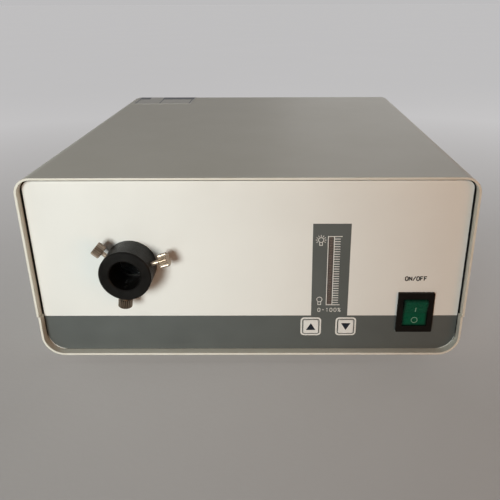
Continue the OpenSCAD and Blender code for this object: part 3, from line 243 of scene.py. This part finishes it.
def turned(name, colour, rough, pitch, depth):
    """Metal turned about the light port's axis, with fine tool lines on faces and sides."""
    finish, tree, shader = new_finish(name, {"Specular IOR Level": 0.12})
    where = place_on(tree)
    wear = noise(tree, where, size=4 * MM)
    deep, rubbed = shade(colour, 0.8), shade(colour, 1.25)
    colour_by(tree, shader, tones(tree, wear, deep, rubbed))
    gloss_by(tree, shader, wear, rough - 0.05, rough + 0.07)
    across = place_on(tree, stretch=(1, 0, 1), shift=(-PORT[0] * MM, 0, -PORT[1] * MM))
    radius = reckon_vectors(tree, "LENGTH", across)["Value"]
    way = reckon(tree, "ADD", radius, parts_of(tree, where)["Y"])
    lines = reckon(tree, "SINE", reckon(tree, "MULTIPLY", way, 2 * math.pi / pitch))
    relief(tree, shader, lines, depth)
    return finish


def knurled(name, node, joint, colour, rough, lines):
    """Plated metal with painted shade in lines along the sides of a head that turns about a joint's axis: the
    shade down in its knurl's grooves.
    """
    finish, tree, shader = new_finish(name, {"Metallic": 1.0})
    base, axis = Vector(joint["pos_m"]), Vector(joint["axis"])
    head_r = max((vertex.co - base).cross(axis).length for vertex in nodes[node].data.vertices)
    groove_r = 0.85 * head_r
    # Colour of the painted shade down in the knurl's grooves
    groove_shade = shade(colour, 0.10)
    where = place_on(tree, shift=-base)
    off_axis = reckon_vectors(tree, "CROSS_PRODUCT", where, axis)["Vector"]
    radius = reckon_vectors(tree, "LENGTH", off_axis)["Value"]
    on_head = reckon(tree, "GREATER_THAN", radius, groove_r)
    upright = reckon_vectors(tree, "DOT_PRODUCT", where, (axis.z, 0, -axis.x))["Value"]
    turn = reckon(tree, "ARCTAN2", parts_of(tree, where)["Y"], upright)
    ridge = reckon(tree, "COSINE", reckon(tree, "MULTIPLY", turn, lines))
    groove = span(tree, ridge, low=1.0, high=0.0, start=-0.8, end=0.3)
    # Painted shade only on the head's knurled sides, darkest in the grooves
    groove_shade_share = reckon(tree, "MULTIPLY", groove, on_head)
    colour_by(tree, shader, tones(tree, groove_shade_share, colour, groove_shade, start=0.0, end=1.0))
    gloss_by(tree, shader, noise(tree, where, size=2 * MM), rough - ROUGH_SWING, rough + ROUGH_SWING)
    relief(tree, shader, noise(tree, where, 0.6 * MM, FINE_DETAIL), depth=4 * MICRON)
    return finish


def facing_in(tree, where, middle_z, ends):
    """One on faces that look into the case between two depths, and nought on all others."""
    across = place_on(tree, stretch=(1, 0, 1), shift=(0, 0, -middle_z))
    normal = put(tree, "ShaderNodeTexCoord").outputs["Normal"]
    outward = reckon_vectors(tree, "DOT_PRODUCT", across, normal)["Value"]
    along = parts_of(tree, where)["Y"]
    behind = reckon(tree, "GREATER_THAN", along, ends[0])
    before = reckon(tree, "LESS_THAN", along, ends[1])
    between = reckon(tree, "MULTIPLY", behind, before)
    return reckon(tree, "MULTIPLY", between, reckon(tree, "LESS_THAN", outward, 0.0))


def painted(name, low, high, worn, inside_shade, rim_width):
    """Orange peel powder coat, rubbed paler along the cover's rims; on faces that look into the case, a dark
    painted shade in place of the coat.
    """
    finish, tree, shader = new_finish(name, {"Specular IOR Level": 0.45})
    where = place_on(tree)
    base = tones(tree, noise(tree, where, size=60 * MM), low, high)
    along = parts_of(tree, where)["Y"]
    rubs = []
    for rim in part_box("top_cover"):
        rubs.append(span(tree, distance_to(tree, along, rim.y), low=1.0, high=0.0, start=0.0, end=rim_width))
    spots = span(tree, noise(tree, where, size=8 * MM), low=0.0, high=0.5, start=0.4, end=0.7)
    rub = reckon(tree, "MULTIPLY", reckon(tree, "MAXIMUM", *rubs), spots)
    coat = cover(tree, rub, base, worn)
    # Painted shade on the faces that look into the case, behind the front panel
    inside = facing_in(tree, where, (cad_low.z + cad_high.z) / 2, (PANEL_Y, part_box("rear_panel")[1].y))
    colour_by(tree, shader, cover(tree, inside, coat, inside_shade))
    gloss_by(tree, shader, noise(tree, where, size=12 * MM), low=0.46, high=0.49)
    relief(tree, shader, noise(tree, where, 1.1 * MM, FINE_DETAIL), depth=14 * MICRON)
    return finish


def glass(name, tint, rough):
    """Clear glass with a faint film of dust in its gloss."""
    sockets = {"Transmission Weight": 1.0, "IOR": 1.5, "Base Color": (*tint, 1)}
    finish, tree, shader = new_finish(name, sockets)
    where = place_on(tree)
    dusty = rough + 0.05
    gloss_by(tree, shader, noise(tree, where, size=3 * MM), rough, dusty)
    relief(tree, shader, noise(tree, where, size=6 * MM, detail=1.0), depth=2 * MICRON)
    return finish


def tinted(name, face, edge, middle, size, border):
    """Dark see-through plastic with painted shade towards the sides of its face, in x and z, as from the
    walls round it.
    """
    finish, tree, shader = new_finish(name, {"Specular IOR Level": 0.17})
    where = place_on(tree)
    places = parts_of(tree, where)
    insides = []
    for axis, centre, width in zip("XZ", middle, size):
        off = distance_to(tree, places[axis], centre)
        insides.append(span(tree, off, low=1.0, high=0.0, start=width / 2 - border, end=width / 2))
    # Painted shade: one in the middle of the face, falling to nought at its sides
    depth = reckon(tree, "MULTIPLY", *insides)
    cloud = span(tree, noise(tree, where, size=5 * MM), low=0.8, high=1.0)
    light = reckon(tree, "MULTIPLY", depth, cloud)
    colour_by(tree, shader, tones(tree, light, edge, face, start=0.0, end=1.0))
    gloss_by(tree, shader, noise(tree, where, size=3 * MM), low=0.24, high=0.34)
    relief(tree, shader, noise(tree, where, 1.2 * MM, FINE_DETAIL), depth=6 * MICRON)
    return finish


def circuit_board(name, track, mask):
    """Solder mask over a web of raised tracks."""
    finish, tree, shader = new_finish(name, {"Specular IOR Level": 0.5})
    where = place_on(tree)
    cells_per_metre = 220.0
    track_edges = {"start": 0.02, "end": 0.06}
    web = put(tree, "ShaderNodeTexVoronoi", [("Vector", where), ("Scale", cells_per_metre)],
              feature="DISTANCE_TO_EDGE").outputs["Distance"]
    colour_by(tree, shader, tones(tree, web, track, mask, **track_edges))
    gloss_by(tree, shader, noise(tree, where, size=5 * MM), low=0.3, high=0.42)
    relief(tree, shader, span(tree, web, low=1.0, high=0.0, **track_edges), depth=30 * MICRON)
    return finish


# Finishes

# Inside the case the coat gives way to a dark painted shade
paint = painted("case_paint", low=(0.715, 0.690, 0.600), high=(0.750, 0.725, 0.640), worn=(0.80, 0.785, 0.72),
                inside_shade=(0.030, 0.029, 0.027), rim_width=2.5 * MM)
film = plain("overlay_film", (0.80, 0.80, 0.77), rough=0.36, grain=0.5 * MM, depth=6 * MICRON, vary=0.015,
             patch=50 * MM)
band_ink = plain("band_ink", (0.097, 0.107, 0.103), rough=0.36, grain=0.5 * MM, depth=6 * MICRON, vary=0.06,
                 patch=30 * MM)
white_ink = ink("white_ink", (0.78, 0.78, 0.75), vary=0.03)
black_ink = ink("black_ink", (0.012, 0.012, 0.014), vary=0.1)
navy_ink = ink("navy_ink", (0.004, 0.008, 0.017), vary=0.1)
mark_ink = ink("mark_ink", (0.24, 0.42, 0.32), vary=0.04, rough=0.4)
anodised = turned("black_anodised", (0.0056, 0.0050, 0.0043), rough=0.36, pitch=0.5 * MM, depth=12 * MICRON)
joints = {joint["name"]: joint for joint in frame["record"]["behaviour"]["joints"]}
thumbscrews = {}
# The plating's colour is the nickel's own tone, darkened and browned as painted reflection of a dim, warm
# room
for side in ("left", "right", "lower"):
    screw = "thumbscrew_" + side
    turning = joints["thumbscrew_turn_" + side]
    thumbscrews[screw] = knurled("nickel_" + side, screw, turning, (0.44, 0.36, 0.28), rough=0.34, lines=20)
zinc = metal("zinc_steel", (0.60, 0.60, 0.58), rough=0.36)
aluminium = metal("plate_aluminium", (0.74, 0.74, 0.75), rough=0.42, stretch=(12, 1, 1))
sink = metal("sink_aluminium", (0.68, 0.69, 0.70), rough=0.38, stretch=(1, 14, 1))
brass = metal("contact_brass", (0.76, 0.60, 0.30), rough=0.26)
satin_plate = plain("blank_plate", (0.62, 0.60, 0.55), rough=0.42, grain=0.6 * MM, depth=4 * MICRON,
                    vary=0.04, patch=6 * MM, stretch=(1, 18, 1))
black_plastic = plain("black_plastic", (0.0068, 0.0055, 0.0045), rough=0.40, grain=0.4 * MM,
                      depth=10 * MICRON, vary=0.2, patch=4 * MM, Specular_IOR_Level=0.10)
fan_plastic = plain("fan_plastic", (0.020, 0.020, 0.021), rough=0.40, grain=0.8 * MM, depth=6 * MICRON,
                    vary=0.15)
rubber = plain("foot_rubber", (0.028, 0.028, 0.028), rough=0.75, grain=0.7 * MM, depth=30 * MICRON, vary=0.2)
nylon = plain("nylon", (0.78, 0.75, 0.66), rough=0.46, grain=1 * MM, depth=10 * MICRON, vary=0.04,
              Subsurface_Weight=0.1)
# The rocker's edge colour is painted shade from the switch housing's walls
green = tinted("rocker_green", face=(0.0005, 0.082, 0.040), edge=(0.0005, 0.014, 0.008),
               middle=shade(SWITCH, MM), size=shade(ROCKER, MM), border=1.8 * MM)
key_white = plain("key_white", (0.77, 0.77, 0.75), rough=0.40, grain=0.5 * MM, depth=6 * MICRON, vary=0.02)
display_red = plain("display_red", (0.050, 0.040, 0.036), rough=0.30, grain=0.8 * MM, depth=4 * MICRON,
                    vary=0.12)
segment_red = plain("segment_red", (0.124, 0.098, 0.085), rough=0.26, grain=0.6 * MM, depth=4 * MICRON,
                    vary=0.2, patch=1.5 * MM)
lens = glass("lens_glass", tint=(0.55, 0.62, 0.66), rough=0.02)
filter_glass = glass("filter_glass", tint=(0.50, 0.78, 0.66), rough=0.03)
ceramic = plain("lamp_ceramic", (0.82, 0.80, 0.76), rough=0.55, grain=0.9 * MM, depth=10 * MICRON, vary=0.03)
board = circuit_board("circuit_board", track=(0.03, 0.20, 0.09), mask=(0.012, 0.11, 0.045))
tape = plain("winding_tape", (0.66, 0.44, 0.08), rough=0.34, grain=3 * MM, depth=40 * MICRON, vary=0.12,
             stretch=(1, 1, 8))
sleeve = plain("capacitor_sleeve", (0.025, 0.03, 0.09), rough=0.30, grain=2 * MM, depth=10 * MICRON,
               vary=0.12)
potting = plain("igniter_case", (0.055, 0.066, 0.072), rough=0.50, grain=0.9 * MM, depth=20 * MICRON,
                vary=0.12)
lead_red = plain("silicone_lead", (0.36, 0.03, 0.025), rough=0.50, grain=1 * MM, depth=10 * MICRON, vary=0.12)
wire_brown = plain("wire_insulation", (0.20, 0.085, 0.04), rough=0.38, grain=1 * MM, depth=10 * MICRON,
                   vary=0.12)

dressing = [
    (paint, ["base_tray", "top_cover", "rear_panel"]),
    (zinc, ["side_strips", "case_screws", "foot_screws", "foot_nuts", "m3_screws", "front_rail", "rear_rail",
            "attenuator_motor", "attenuator_shaft", "fan_screws"]),
    (rubber, ["rubber_feet"]),
    (satin_plate, ["blank_label"]),
    (aluminium, ["front_plate", "optics_bracket"]),
    (film, ["front_overlay"]),
    (anodised, ["light_port", "port_nut", "lens_ring", "filter_ring", "attenuator_wheel"]),
    *((finish, [screw]) for screw, finish in thumbscrews.items()),
    (nylon, ["clamp_tip_left", "clamp_tip_right", "clamp_tip_lower", "lamp_posts", "psu_standoffs",
             "board_standoffs"]),
    (lens, ["condenser_lens", "lamp_window", "fuse"]),
    (filter_glass, ["heat_filter"]),
    (black_plastic, ["switch_housing", "mains_inlet", "fuse_drawer", "tact_switches"]),
    (fan_plastic, ["fan_frame", "fan_rotor"]),
    (green, ["rocker"]),
    (key_white, ["brighter_key", "dimmer_key"]),
    (display_red, ["bar_display"]),
    (ceramic, ["xenon_lamp"]),
    (sink, ["front_heatsink", "rear_heatsink", "psu_heatsink"]),
    (board, ["psu_board", "control_board"]),
    (tape, ["psu_transformer"]),
    (sleeve, ["psu_capacitors"]),
    (brass, ["switch_terminals", "inlet_pins", "earth_stud"]),
    (potting, ["igniter"]),
    (lead_red, ["igniter_leads"]),
    (wire_brown, ["inner_wires"]),
]


def dress():
    """Gives every CAD node its finish."""
    for finish, names in dressing:
        for name in names:
            nodes[name].data.materials.clear()
            nodes[name].data.materials.append(finish)


# Flat shapes: a shape is an outline followed by its holes, each a list of (x, z) points in millimetres

# Height of ink
INK = 0.06
# Least square of a corner's mean normal, so that no mitre grows long
MITRE_LIMIT = 0.35


def circle(x, z, r, steps=32):
    turns = [2 * math.pi * k / steps for k in range(steps)]
    return [(x + r * math.cos(a), z + r * math.sin(a)) for a in turns]


def corner(x, z, r, start, steps=10):
    """A quarter arc about (x, z), from so many degrees on."""
    turns = [math.radians(start + 90 * k / steps) for k in range(steps + 1)]
    return [(x + r * math.cos(a), z + r * math.sin(a)) for a in turns]


def box(low_x, low_z, high_x, high_z):
    return [(low_x, low_z), (high_x, low_z), (high_x, high_z), (low_x, high_z)]


def soft_box(x, z, w, h, r, steps=8):
    """A box about its middle, with round corners."""
    points = []
    for turn, (side, rise) in enumerate([(1, 1), (-1, 1), (-1, -1), (1, -1)]):
        points += corner(x + side * (w / 2 - r), z + rise * (h / 2 - r), r, 90 * turn, steps)
    return points


def shifted_line(points, distance, closed):
    """The line beside these points at that distance, with cut-off mitres."""
    made = []
    count = len(points)
    for k, (x, z) in enumerate(points):
        before = points[k - 1] if closed or k > 0 else None
        after = points[(k + 1) % count] if closed or k < count - 1 else None
        normals = []
        for a, b in ((before, (x, z)), ((x, z), after)):
            if a is not None and b is not None:
                length = math.dist(a, b)
                normals.append(((a[1] - b[1]) / length, (b[0] - a[0]) / length))
        nx = sum(n[0] for n in normals) / len(normals)
        nz = sum(n[1] for n in normals) / len(normals)
        square = max(nx * nx + nz * nz, MITRE_LIMIT)
        made.append((x + distance * nx / square, z + distance * nz / square))
    return made


def stroke(points, width, closed=False):
    """A shape that follows a line with that width."""
    one = shifted_line(points, width / 2, closed)
    other = shifted_line(points, -width / 2, closed)
    if closed:
        return [one, other]
    return [one + other[::-1]]


def on_panel(lift):
    """Carries a flat shape to the face of the panel, lifted by so many millimetres."""
    turn = Matrix(((1, 0, 0, 0), (0, 0, -1, 0), (0, 1, 0, 0), (0, 0, 0, 1)))
    return Matrix.Translation((0, PANEL_Y - lift * MM, 0)) @ turn @ Matrix.Scale(MM, 4)


def flat(name, shapes, carry, finish, body):
    """Ink from flat shapes, carried to its place, that rides on a body and wears a finish."""
    mesh = bmesh.new()
    for loops in shapes:
        edges = []
        for loop in loops:
            corners = [mesh.verts.new((x, z, 0)) for x, z in loop]
            edges += [mesh.edges.new((corners[k - 1], corners[k])) for k in range(len(corners))]
        bmesh.ops.triangle_fill(mesh, use_beauty=True, edges=edges, normal=(0, 0, 1))
    top = bmesh.ops.extrude_face_region(mesh, geom=mesh.faces[:])["geom"]
    lifted = [part for part in top if isinstance(part, bmesh.types.BMVert)]
    bmesh.ops.translate(mesh, verts=lifted, vec=(0, 0, INK))
    bmesh.ops.recalc_face_normals(mesh, faces=mesh.faces[:])
    bmesh.ops.transform(mesh, matrix=carry, verts=mesh.verts[:])
    data = bpy.data.meshes.new(name)
    mesh.to_mesh(data)
    mesh.free()
    data.materials.append(finish)
    piece = bpy.data.objects.new(name, data)
    bpy.context.scene.collection.objects.link(piece)
    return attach(piece, body)


def printed(name, shapes, finish, lift=0.0, body="case"):
    """Ink on the panel, or on a face that lies so many millimetres in front of it."""
    return flat(name, shapes, on_panel(lift), finish, body)


# Print on the front panel, in millimetres

BAND_TOP = 35.0
BAND_CORNER = 13.5
STRIP_LEFT, STRIP_RIGHT, STRIP_TOP = 43.0, 68.7, 104.7
BAR_X, BAR_Z = front_of("bar_display")[0]
BAR_W, BAR_L = 3.2, 51.0
BAR_ROOM = 0.2
SEGMENTS = 28
# The x of each key, and whether its triangle points up or down
KEYS = {name: (front_of(name)[0][0], way) for name, way in (("brighter_key", 1), ("dimmer_key", -1))}
KEY_Z = front_of("brighter_key")[0][1]
KEY_W = 10.6
KEY_ROOM = 0.35
KEY_HOLE = KEY_W + 2 * KEY_ROOM
KEY_CORNER = 1.4


def add_band():
    """The dark field along the bottom of the panel, with the strip that holds the bar scale."""
    low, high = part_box("front_overlay")
    left, right, bottom = low.x / MM, high.x / MM, low.z / MM
    switch_left, switch_right = SWITCH[0] - BEZEL[0] / 2, SWITCH[0] + BEZEL[0] / 2
    switch_low = SWITCH[1] - BEZEL[1] / 2
    outline = corner(left + BAND_CORNER, bottom + BAND_CORNER, BAND_CORNER, 180)
    outline += corner(right - BAND_CORNER, bottom + BAND_CORNER, BAND_CORNER, 270)
    outline += [(right, BAND_TOP), (switch_right, BAND_TOP), (switch_right, switch_low),
                (switch_left, switch_low), (switch_left, BAND_TOP), (STRIP_RIGHT, BAND_TOP),
                (STRIP_RIGHT, STRIP_TOP), (STRIP_LEFT, STRIP_TOP), (STRIP_LEFT, BAND_TOP), (left, BAND_TOP)]
    holes = [soft_box(x, KEY_Z, KEY_HOLE, KEY_HOLE, KEY_CORNER) for x, _ in KEYS.values()]
    half_w, half_l = BAR_W / 2 + BAR_ROOM, BAR_L / 2 + BAR_ROOM
    holes.append(box(BAR_X - half_w, BAR_Z - half_l, BAR_X + half_w, BAR_Z + half_l))
    printed("panel_band", [[outline, *holes]], band_ink)


def add_scale():
    """White frame and ticks of the bar scale, and the dark cells behind its window."""
    line, tick, end_tick = 0.5, 4.2, 5.4
    room = BAR_ROOM + line / 2
    low_x, high_x = BAR_X - BAR_W / 2 - room, BAR_X + BAR_W / 2 + room
    low_z, high_z = BAR_Z - BAR_L / 2 - room, BAR_Z + BAR_L / 2 + room
    printed("scale_frame", [stroke(box(low_x, low_z, high_x, high_z), line, closed=True)], white_ink, INK)
    ticks = []
    for k in range(SEGMENTS + 1):
        z = low_z + (high_z - low_z) * k / SEGMENTS
        end = high_x + (end_tick if k in (0, SEGMENTS) else tick)
        ticks.append(stroke([(high_x + line / 2, z), (end, z)], line))
    printed("scale_ticks", ticks, white_ink, INK)
    pitch = BAR_L / SEGMENTS
    cell_w, cell_h, cell_corner = BAR_W - 0.7, pitch - 0.45, 0.3
    cells = []
    for k in range(SEGMENTS):
        z = BAR_Z - BAR_L / 2 + pitch * (k + 0.5)
        cells.append([soft_box(BAR_X, z, cell_w, cell_h, cell_corner, steps=3)])
    depth = (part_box("bar_display")[0].y - PANEL_Y) / MM
    printed("scale_cells", cells, segment_red, -depth)


def bulb(x, z, r, line):
    """A lamp sign: round glass on a small square cap."""
    cap_half, cap_top, cap_end = 0.55 * r, z - 1.02 * r, z - 2.2 * r
    left, right = x - cap_half, x + cap_half
    cap = [(left, cap_top), (left, cap_end), (right, cap_end), (right, cap_top)]
    return [stroke(circle(x, z, r), line, closed=True), stroke(cap, line)]


def add_lamp_signs():
    """A shining lamp at the top of the scale and a dim one at the bottom."""
    line = 0.4
    x, bright_z, dim_z = 48.6, 93.0, 47.9
    bright_r, dim_r = 1.75, 1.85
    near, far = 2.4, 3.6
    rays, first_ray, sweep = 9, -30, 240
    bright = bulb(x, bright_z, bright_r, line)
    for k in range(rays):
        a = math.radians(first_ray + sweep * k / (rays - 1))
        ends = [(x + reach * math.cos(a), bright_z + reach * math.sin(a)) for reach in (near, far)]
        bright.append(stroke(ends, line))
    printed("lamp_sign_bright", bright, white_ink, INK)
    printed("lamp_sign_dim", bulb(x, dim_z, dim_r, line), white_ink, INK)


# Letters one high: each is a list of lines, and a line is its points and whether it closes
GLYPH_W = 0.6
GLYPHS = {
    "O": [([(0.15, 0), (0.45, 0), (0.6, 0.18), (0.6, 0.82), (0.45, 1), (0.15, 1), (0, 0.82), (0, 0.18)],
           True)],
    "N": [([(0, 0), (0, 1)], False), ([(0.6, 0), (0.6, 1)], False), ([(0.04, 0.95), (0.56, 0.05)], False)],
    "F": [([(0, 0), (0, 1), (0.6, 1)], False), ([(0.09, 0.52), (0.48, 0.52)], False)],
    "/": [([(0, -0.05), (0.6, 1.05)], False)],
    "1": [([(0.1, 0.8), (0.34, 1), (0.34, 0)], False)],
    "-": [([(0.08, 0.5), (0.52, 0.5)], False)],
    "%": [([(0.02, 0), (0.58, 1)], False),
          ([(0.0, 0.72), (0.0, 0.98), (0.22, 0.98), (0.22, 0.72)], True),
          ([(0.38, 0.02), (0.38, 0.28), (0.6, 0.28), (0.6, 0.02)], True)],
}
GLYPHS["0"] = GLYPHS["O"]


def words(text, x, z, height, advance, line):
    """Plain line lettering about the middle point (x, z)."""
    shapes = []
    start = x - ((len(text) - 1) * advance + GLYPH_W * height) / 2
    for k, letter in enumerate(text):
        for points, closed in GLYPHS[letter]:
            placed = [(start + k * advance + u * height, z + (v - 0.5) * height) for u, v in points]
            shapes.append(stroke(placed, line, closed))
    return shapes


def add_words():
    """The words over the switch, and the range of the scale under it."""
    switch_words = words("ON/OFF", x=115.2, z=64.0, height=2.9, advance=2.6, line=0.74)
    scale_words = words("0-100%", x=55.6, z=39.6, height=2.7, advance=2.85, line=0.36)
    printed("switch_words", switch_words, black_ink)
    printed("scale_words", scale_words, white_ink, INK)


def add_key_marks():
    """White frames printed round the keys, and a triangle on each key."""
    outer, outer_corner = 14.7, 2.6
    inner, inner_corner = 12.5, 1.8
    half, rise = 3.4, 2.8
    frames = []
    for x, _ in KEYS.values():
        frames.append([soft_box(x, KEY_Z, outer, outer, outer_corner),
                       soft_box(x, KEY_Z, inner, inner, inner_corner)])
    printed("key_frames", frames, white_ink, INK)
    for name, (x, way) in KEYS.items():
        proud = (PANEL_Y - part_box(name)[0].y) / MM
        foot = KEY_Z - way * rise
        triangle = [(x - half, foot), (x + half, foot), (x, KEY_Z + way * rise)]
        printed(name.replace("_key", "_sign"), [[triangle]], navy_ink, proud, name)


def lay_on(piece, node):
    """Lays a flat piece on a node's front face: each point goes to the face, plus its own height."""
    data = nodes[node].data
    tree = BVHTree.FromPolygons([v.co for v in data.vertices], [p.vertices for p in data.polygons])
    for vertex in piece.data.vertices:
        start = Vector((vertex.co.x, cad_low.y, vertex.co.z))
        hit = tree.ray_cast(start, Vector((0, 1, 0)))[0]
        height = PANEL_Y - vertex.co.y
        vertex.co.y = hit.y - height


def add_rocker_marks():
    """The bar and ring that mark the two ends of the rocker."""
    x, z = SWITCH
    on_z, off_z = z + 2.85, z - 6.15
    bar = soft_box(x, on_z, w=0.5, h=4.0, r=0.24, steps=3)
    ring = stroke(circle(x, off_z, r=2.1), width=0.42, closed=True)
    marks = {"rocker_on_mark": [bar], "rocker_off_mark": ring}
    for name, shape in marks.items():
        lay_on(printed(name, [shape], mark_ink, 0.0, "rocker"), "rocker")


def add_label_lines():
    """Dark bars and three short lines on the bare plate, with no words."""
    low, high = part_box("blank_label")
    left, right = low.x / MM, high.x / MM
    front, back = low.y / MM, high.y / MM
    carry = Matrix.Translation((0, 0, high.z)) @ Matrix.Scale(MM, 4)
    edge, bar_d, line = 1.5, 14.0, 0.8
    first_end, second_start, middle = (left + share * (right - left) for share in (0.2, 0.43, 0.45))
    bars = [box(left + edge, back - bar_d, first_end, back - edge),
            box(second_start, back - bar_d, right - edge, back - edge)]
    lines = []
    for x in (left + 2 * edge, middle, right - 2 * edge):
        lines.append(stroke([(x, front + 2 * edge), (x, back - bar_d - edge)], line))
    flat("label_lines", [[bar] for bar in bars] + lines, carry, navy_ink, "case")


# Studio

FLOOR_SIZE = 80.0
FLOOR_GLOW = 0.5
GLOW_MIDDLE = (0, -0.35, 0)
GLOW_START, GLOW_END = 0.2, 1.2


def seen_by(tree, first, *others):
    """One for rays of any of these kinds, and nought for the rest."""
    path = put(tree, "ShaderNodeLightPath").outputs
    share = path[first]
    for ray in others:
        share = reckon(tree, "MAXIMUM", share, path[ray])
    return share


def show(tree, output, share, one, other):
    """Sends a mix of two shaders to the output node, with that share of the other."""
    mix = put(tree, "ShaderNodeMixShader", [(0, share), (1, one), (2, other)])
    tree.links.new(mix.outputs["Shader"], tree.nodes[output].inputs["Surface"])


def add_floor():
    """A plain pale floor that keeps the shadow and reads pale to the camera."""
    bpy.ops.mesh.primitive_grid_add(x_subdivisions=12, y_subdivisions=12, size=FLOOR_SIZE)
    floor = bpy.context.active_object
    floor.name = "floor"
    finish, tree, shader = new_finish("floor", {"Roughness": 0.9, "Specular IOR Level": 0.1})
    where = place_on(tree)
    cloud = noise(tree, where, size=0.4)
    colour_by(tree, shader, tones(tree, cloud, low=(0.60, 0.59, 0.59), high=(0.63, 0.62, 0.62)))
    relief(tree, shader, noise(tree, where, size=4 * MM), depth=100 * MICRON)
    off = reckon_vectors(tree, "DISTANCE", where, GLOW_MIDDLE)["Value"]
    far = span(tree, off, 0.0, 1.0, GLOW_START, GLOW_END)
    pale = tones(tree, far, low=(0.36, 0.34, 0.32), high=(0.99, 0.98, 0.99), start=0.0, end=1.0)
    glow = put(tree, "ShaderNodeEmission", [("Color", pale), ("Strength", 1.0)])
    share = reckon(tree, "MULTIPLY", seen_by(tree, "Is Camera Ray", "Is Glossy Ray"), FLOOR_GLOW)
    show(tree, "Material Output", share, shader.outputs["BSDF"], glow.outputs["Emission"])
    floor.data.materials.append(finish)


def add_world():
    """Even room light, which the camera and mirrors see as a pale backdrop."""
    world = bpy.data.worlds.new("studio")
    bpy.context.scene.world = world
    world.use_nodes = True
    tree = world.node_tree
    ambient = tree.nodes["Background"]
    ambient.inputs["Color"].default_value = (1.0, 0.93, 0.86, 1)
    ambient.inputs["Strength"].default_value = 0.06
    backdrop = put(tree, "ShaderNodeBackground", [("Color", (0.80, 0.79, 0.80, 1)), ("Strength", 0.64)])
    share = seen_by(tree, "Is Camera Ray", "Is Glossy Ray", "Is Transmission Ray")
    show(tree, "World Output", share, ambient.outputs["Background"], backdrop.outputs["Background"])


def hang(data, power, colour, spot, aim):
    """Hangs a lamp of that power and colour at a spot and points it at its aim."""
    data.energy = power
    data.color = colour
    lamp = bpy.data.objects.new(data.name, data)
    lamp.location = spot
    lamp.rotation_mode = "QUATERNION"
    lamp.rotation_quaternion = (Vector(aim) - Vector(spot)).to_track_quat("-Z", "Y")
    bpy.context.scene.collection.objects.link(lamp)


def add_soft_box(name, spot, aim, size, power, colour, spread):
    """A soft square lamp, whose light fades to the sides within so many degrees."""
    data = bpy.data.lights.new(name, "AREA")
    data.size = size
    data.spread = math.radians(spread)
    hang(data, power, colour, spot, aim)


def add_spot(name, spot, aim, radius, power, colour, cone):
    """A round lamp, whose light fades from its middle to the edge of a cone of so many degrees."""
    data = bpy.data.lights.new(name, "SPOT")
    data.shadow_soft_size = radius
    data.spot_size = math.radians(cone)
    data.spot_blend = 1.0
    hang(data, power, colour, spot, aim)


def add_lamps():
    """A key lamp at the front left, a weak warm one at the front right, and three soft ones behind."""
    add_spot("key", spot=(-0.376, -1.03, 0.25), aim=(-0.09, -0.15, 0.08), radius=0.18, power=35.0,
             colour=(0.95, 1.0, 0.97), cone=38)
    add_soft_box("warm", spot=(0.48, -0.66, 0.12), aim=(0.16, -0.15, 0.08), size=0.4, power=0.38,
                 colour=(1.0, 0.40, 0.08), spread=100)
    add_soft_box("window", spot=(0.30, 1.00, 0.55), aim=(0, 0.15, 0.13), size=0.6, power=0.33,
                 colour=(1.0, 0.98, 0.96), spread=100)
    add_soft_box("left", spot=(-1.50, 0.55, 0.22), aim=(-0.15, 0, 0.07), size=1.0, power=2.4,
                 colour=(1.0, 0.98, 0.95), spread=90)
    add_soft_box("right", spot=(1.45, 0.90, 0.30), aim=(0.15, 0, 0.07), size=1.0, power=2.2,
                 colour=(1.0, 0.97, 0.94), spread=90)


add_camera()
dress()
add_band()
add_scale()
add_lamp_signs()
add_words()
add_key_marks()
add_rocker_marks()
add_label_lines()
add_floor()
add_world()
add_lamps()
bpy.context.scene.view_settings.view_transform = "Standard"
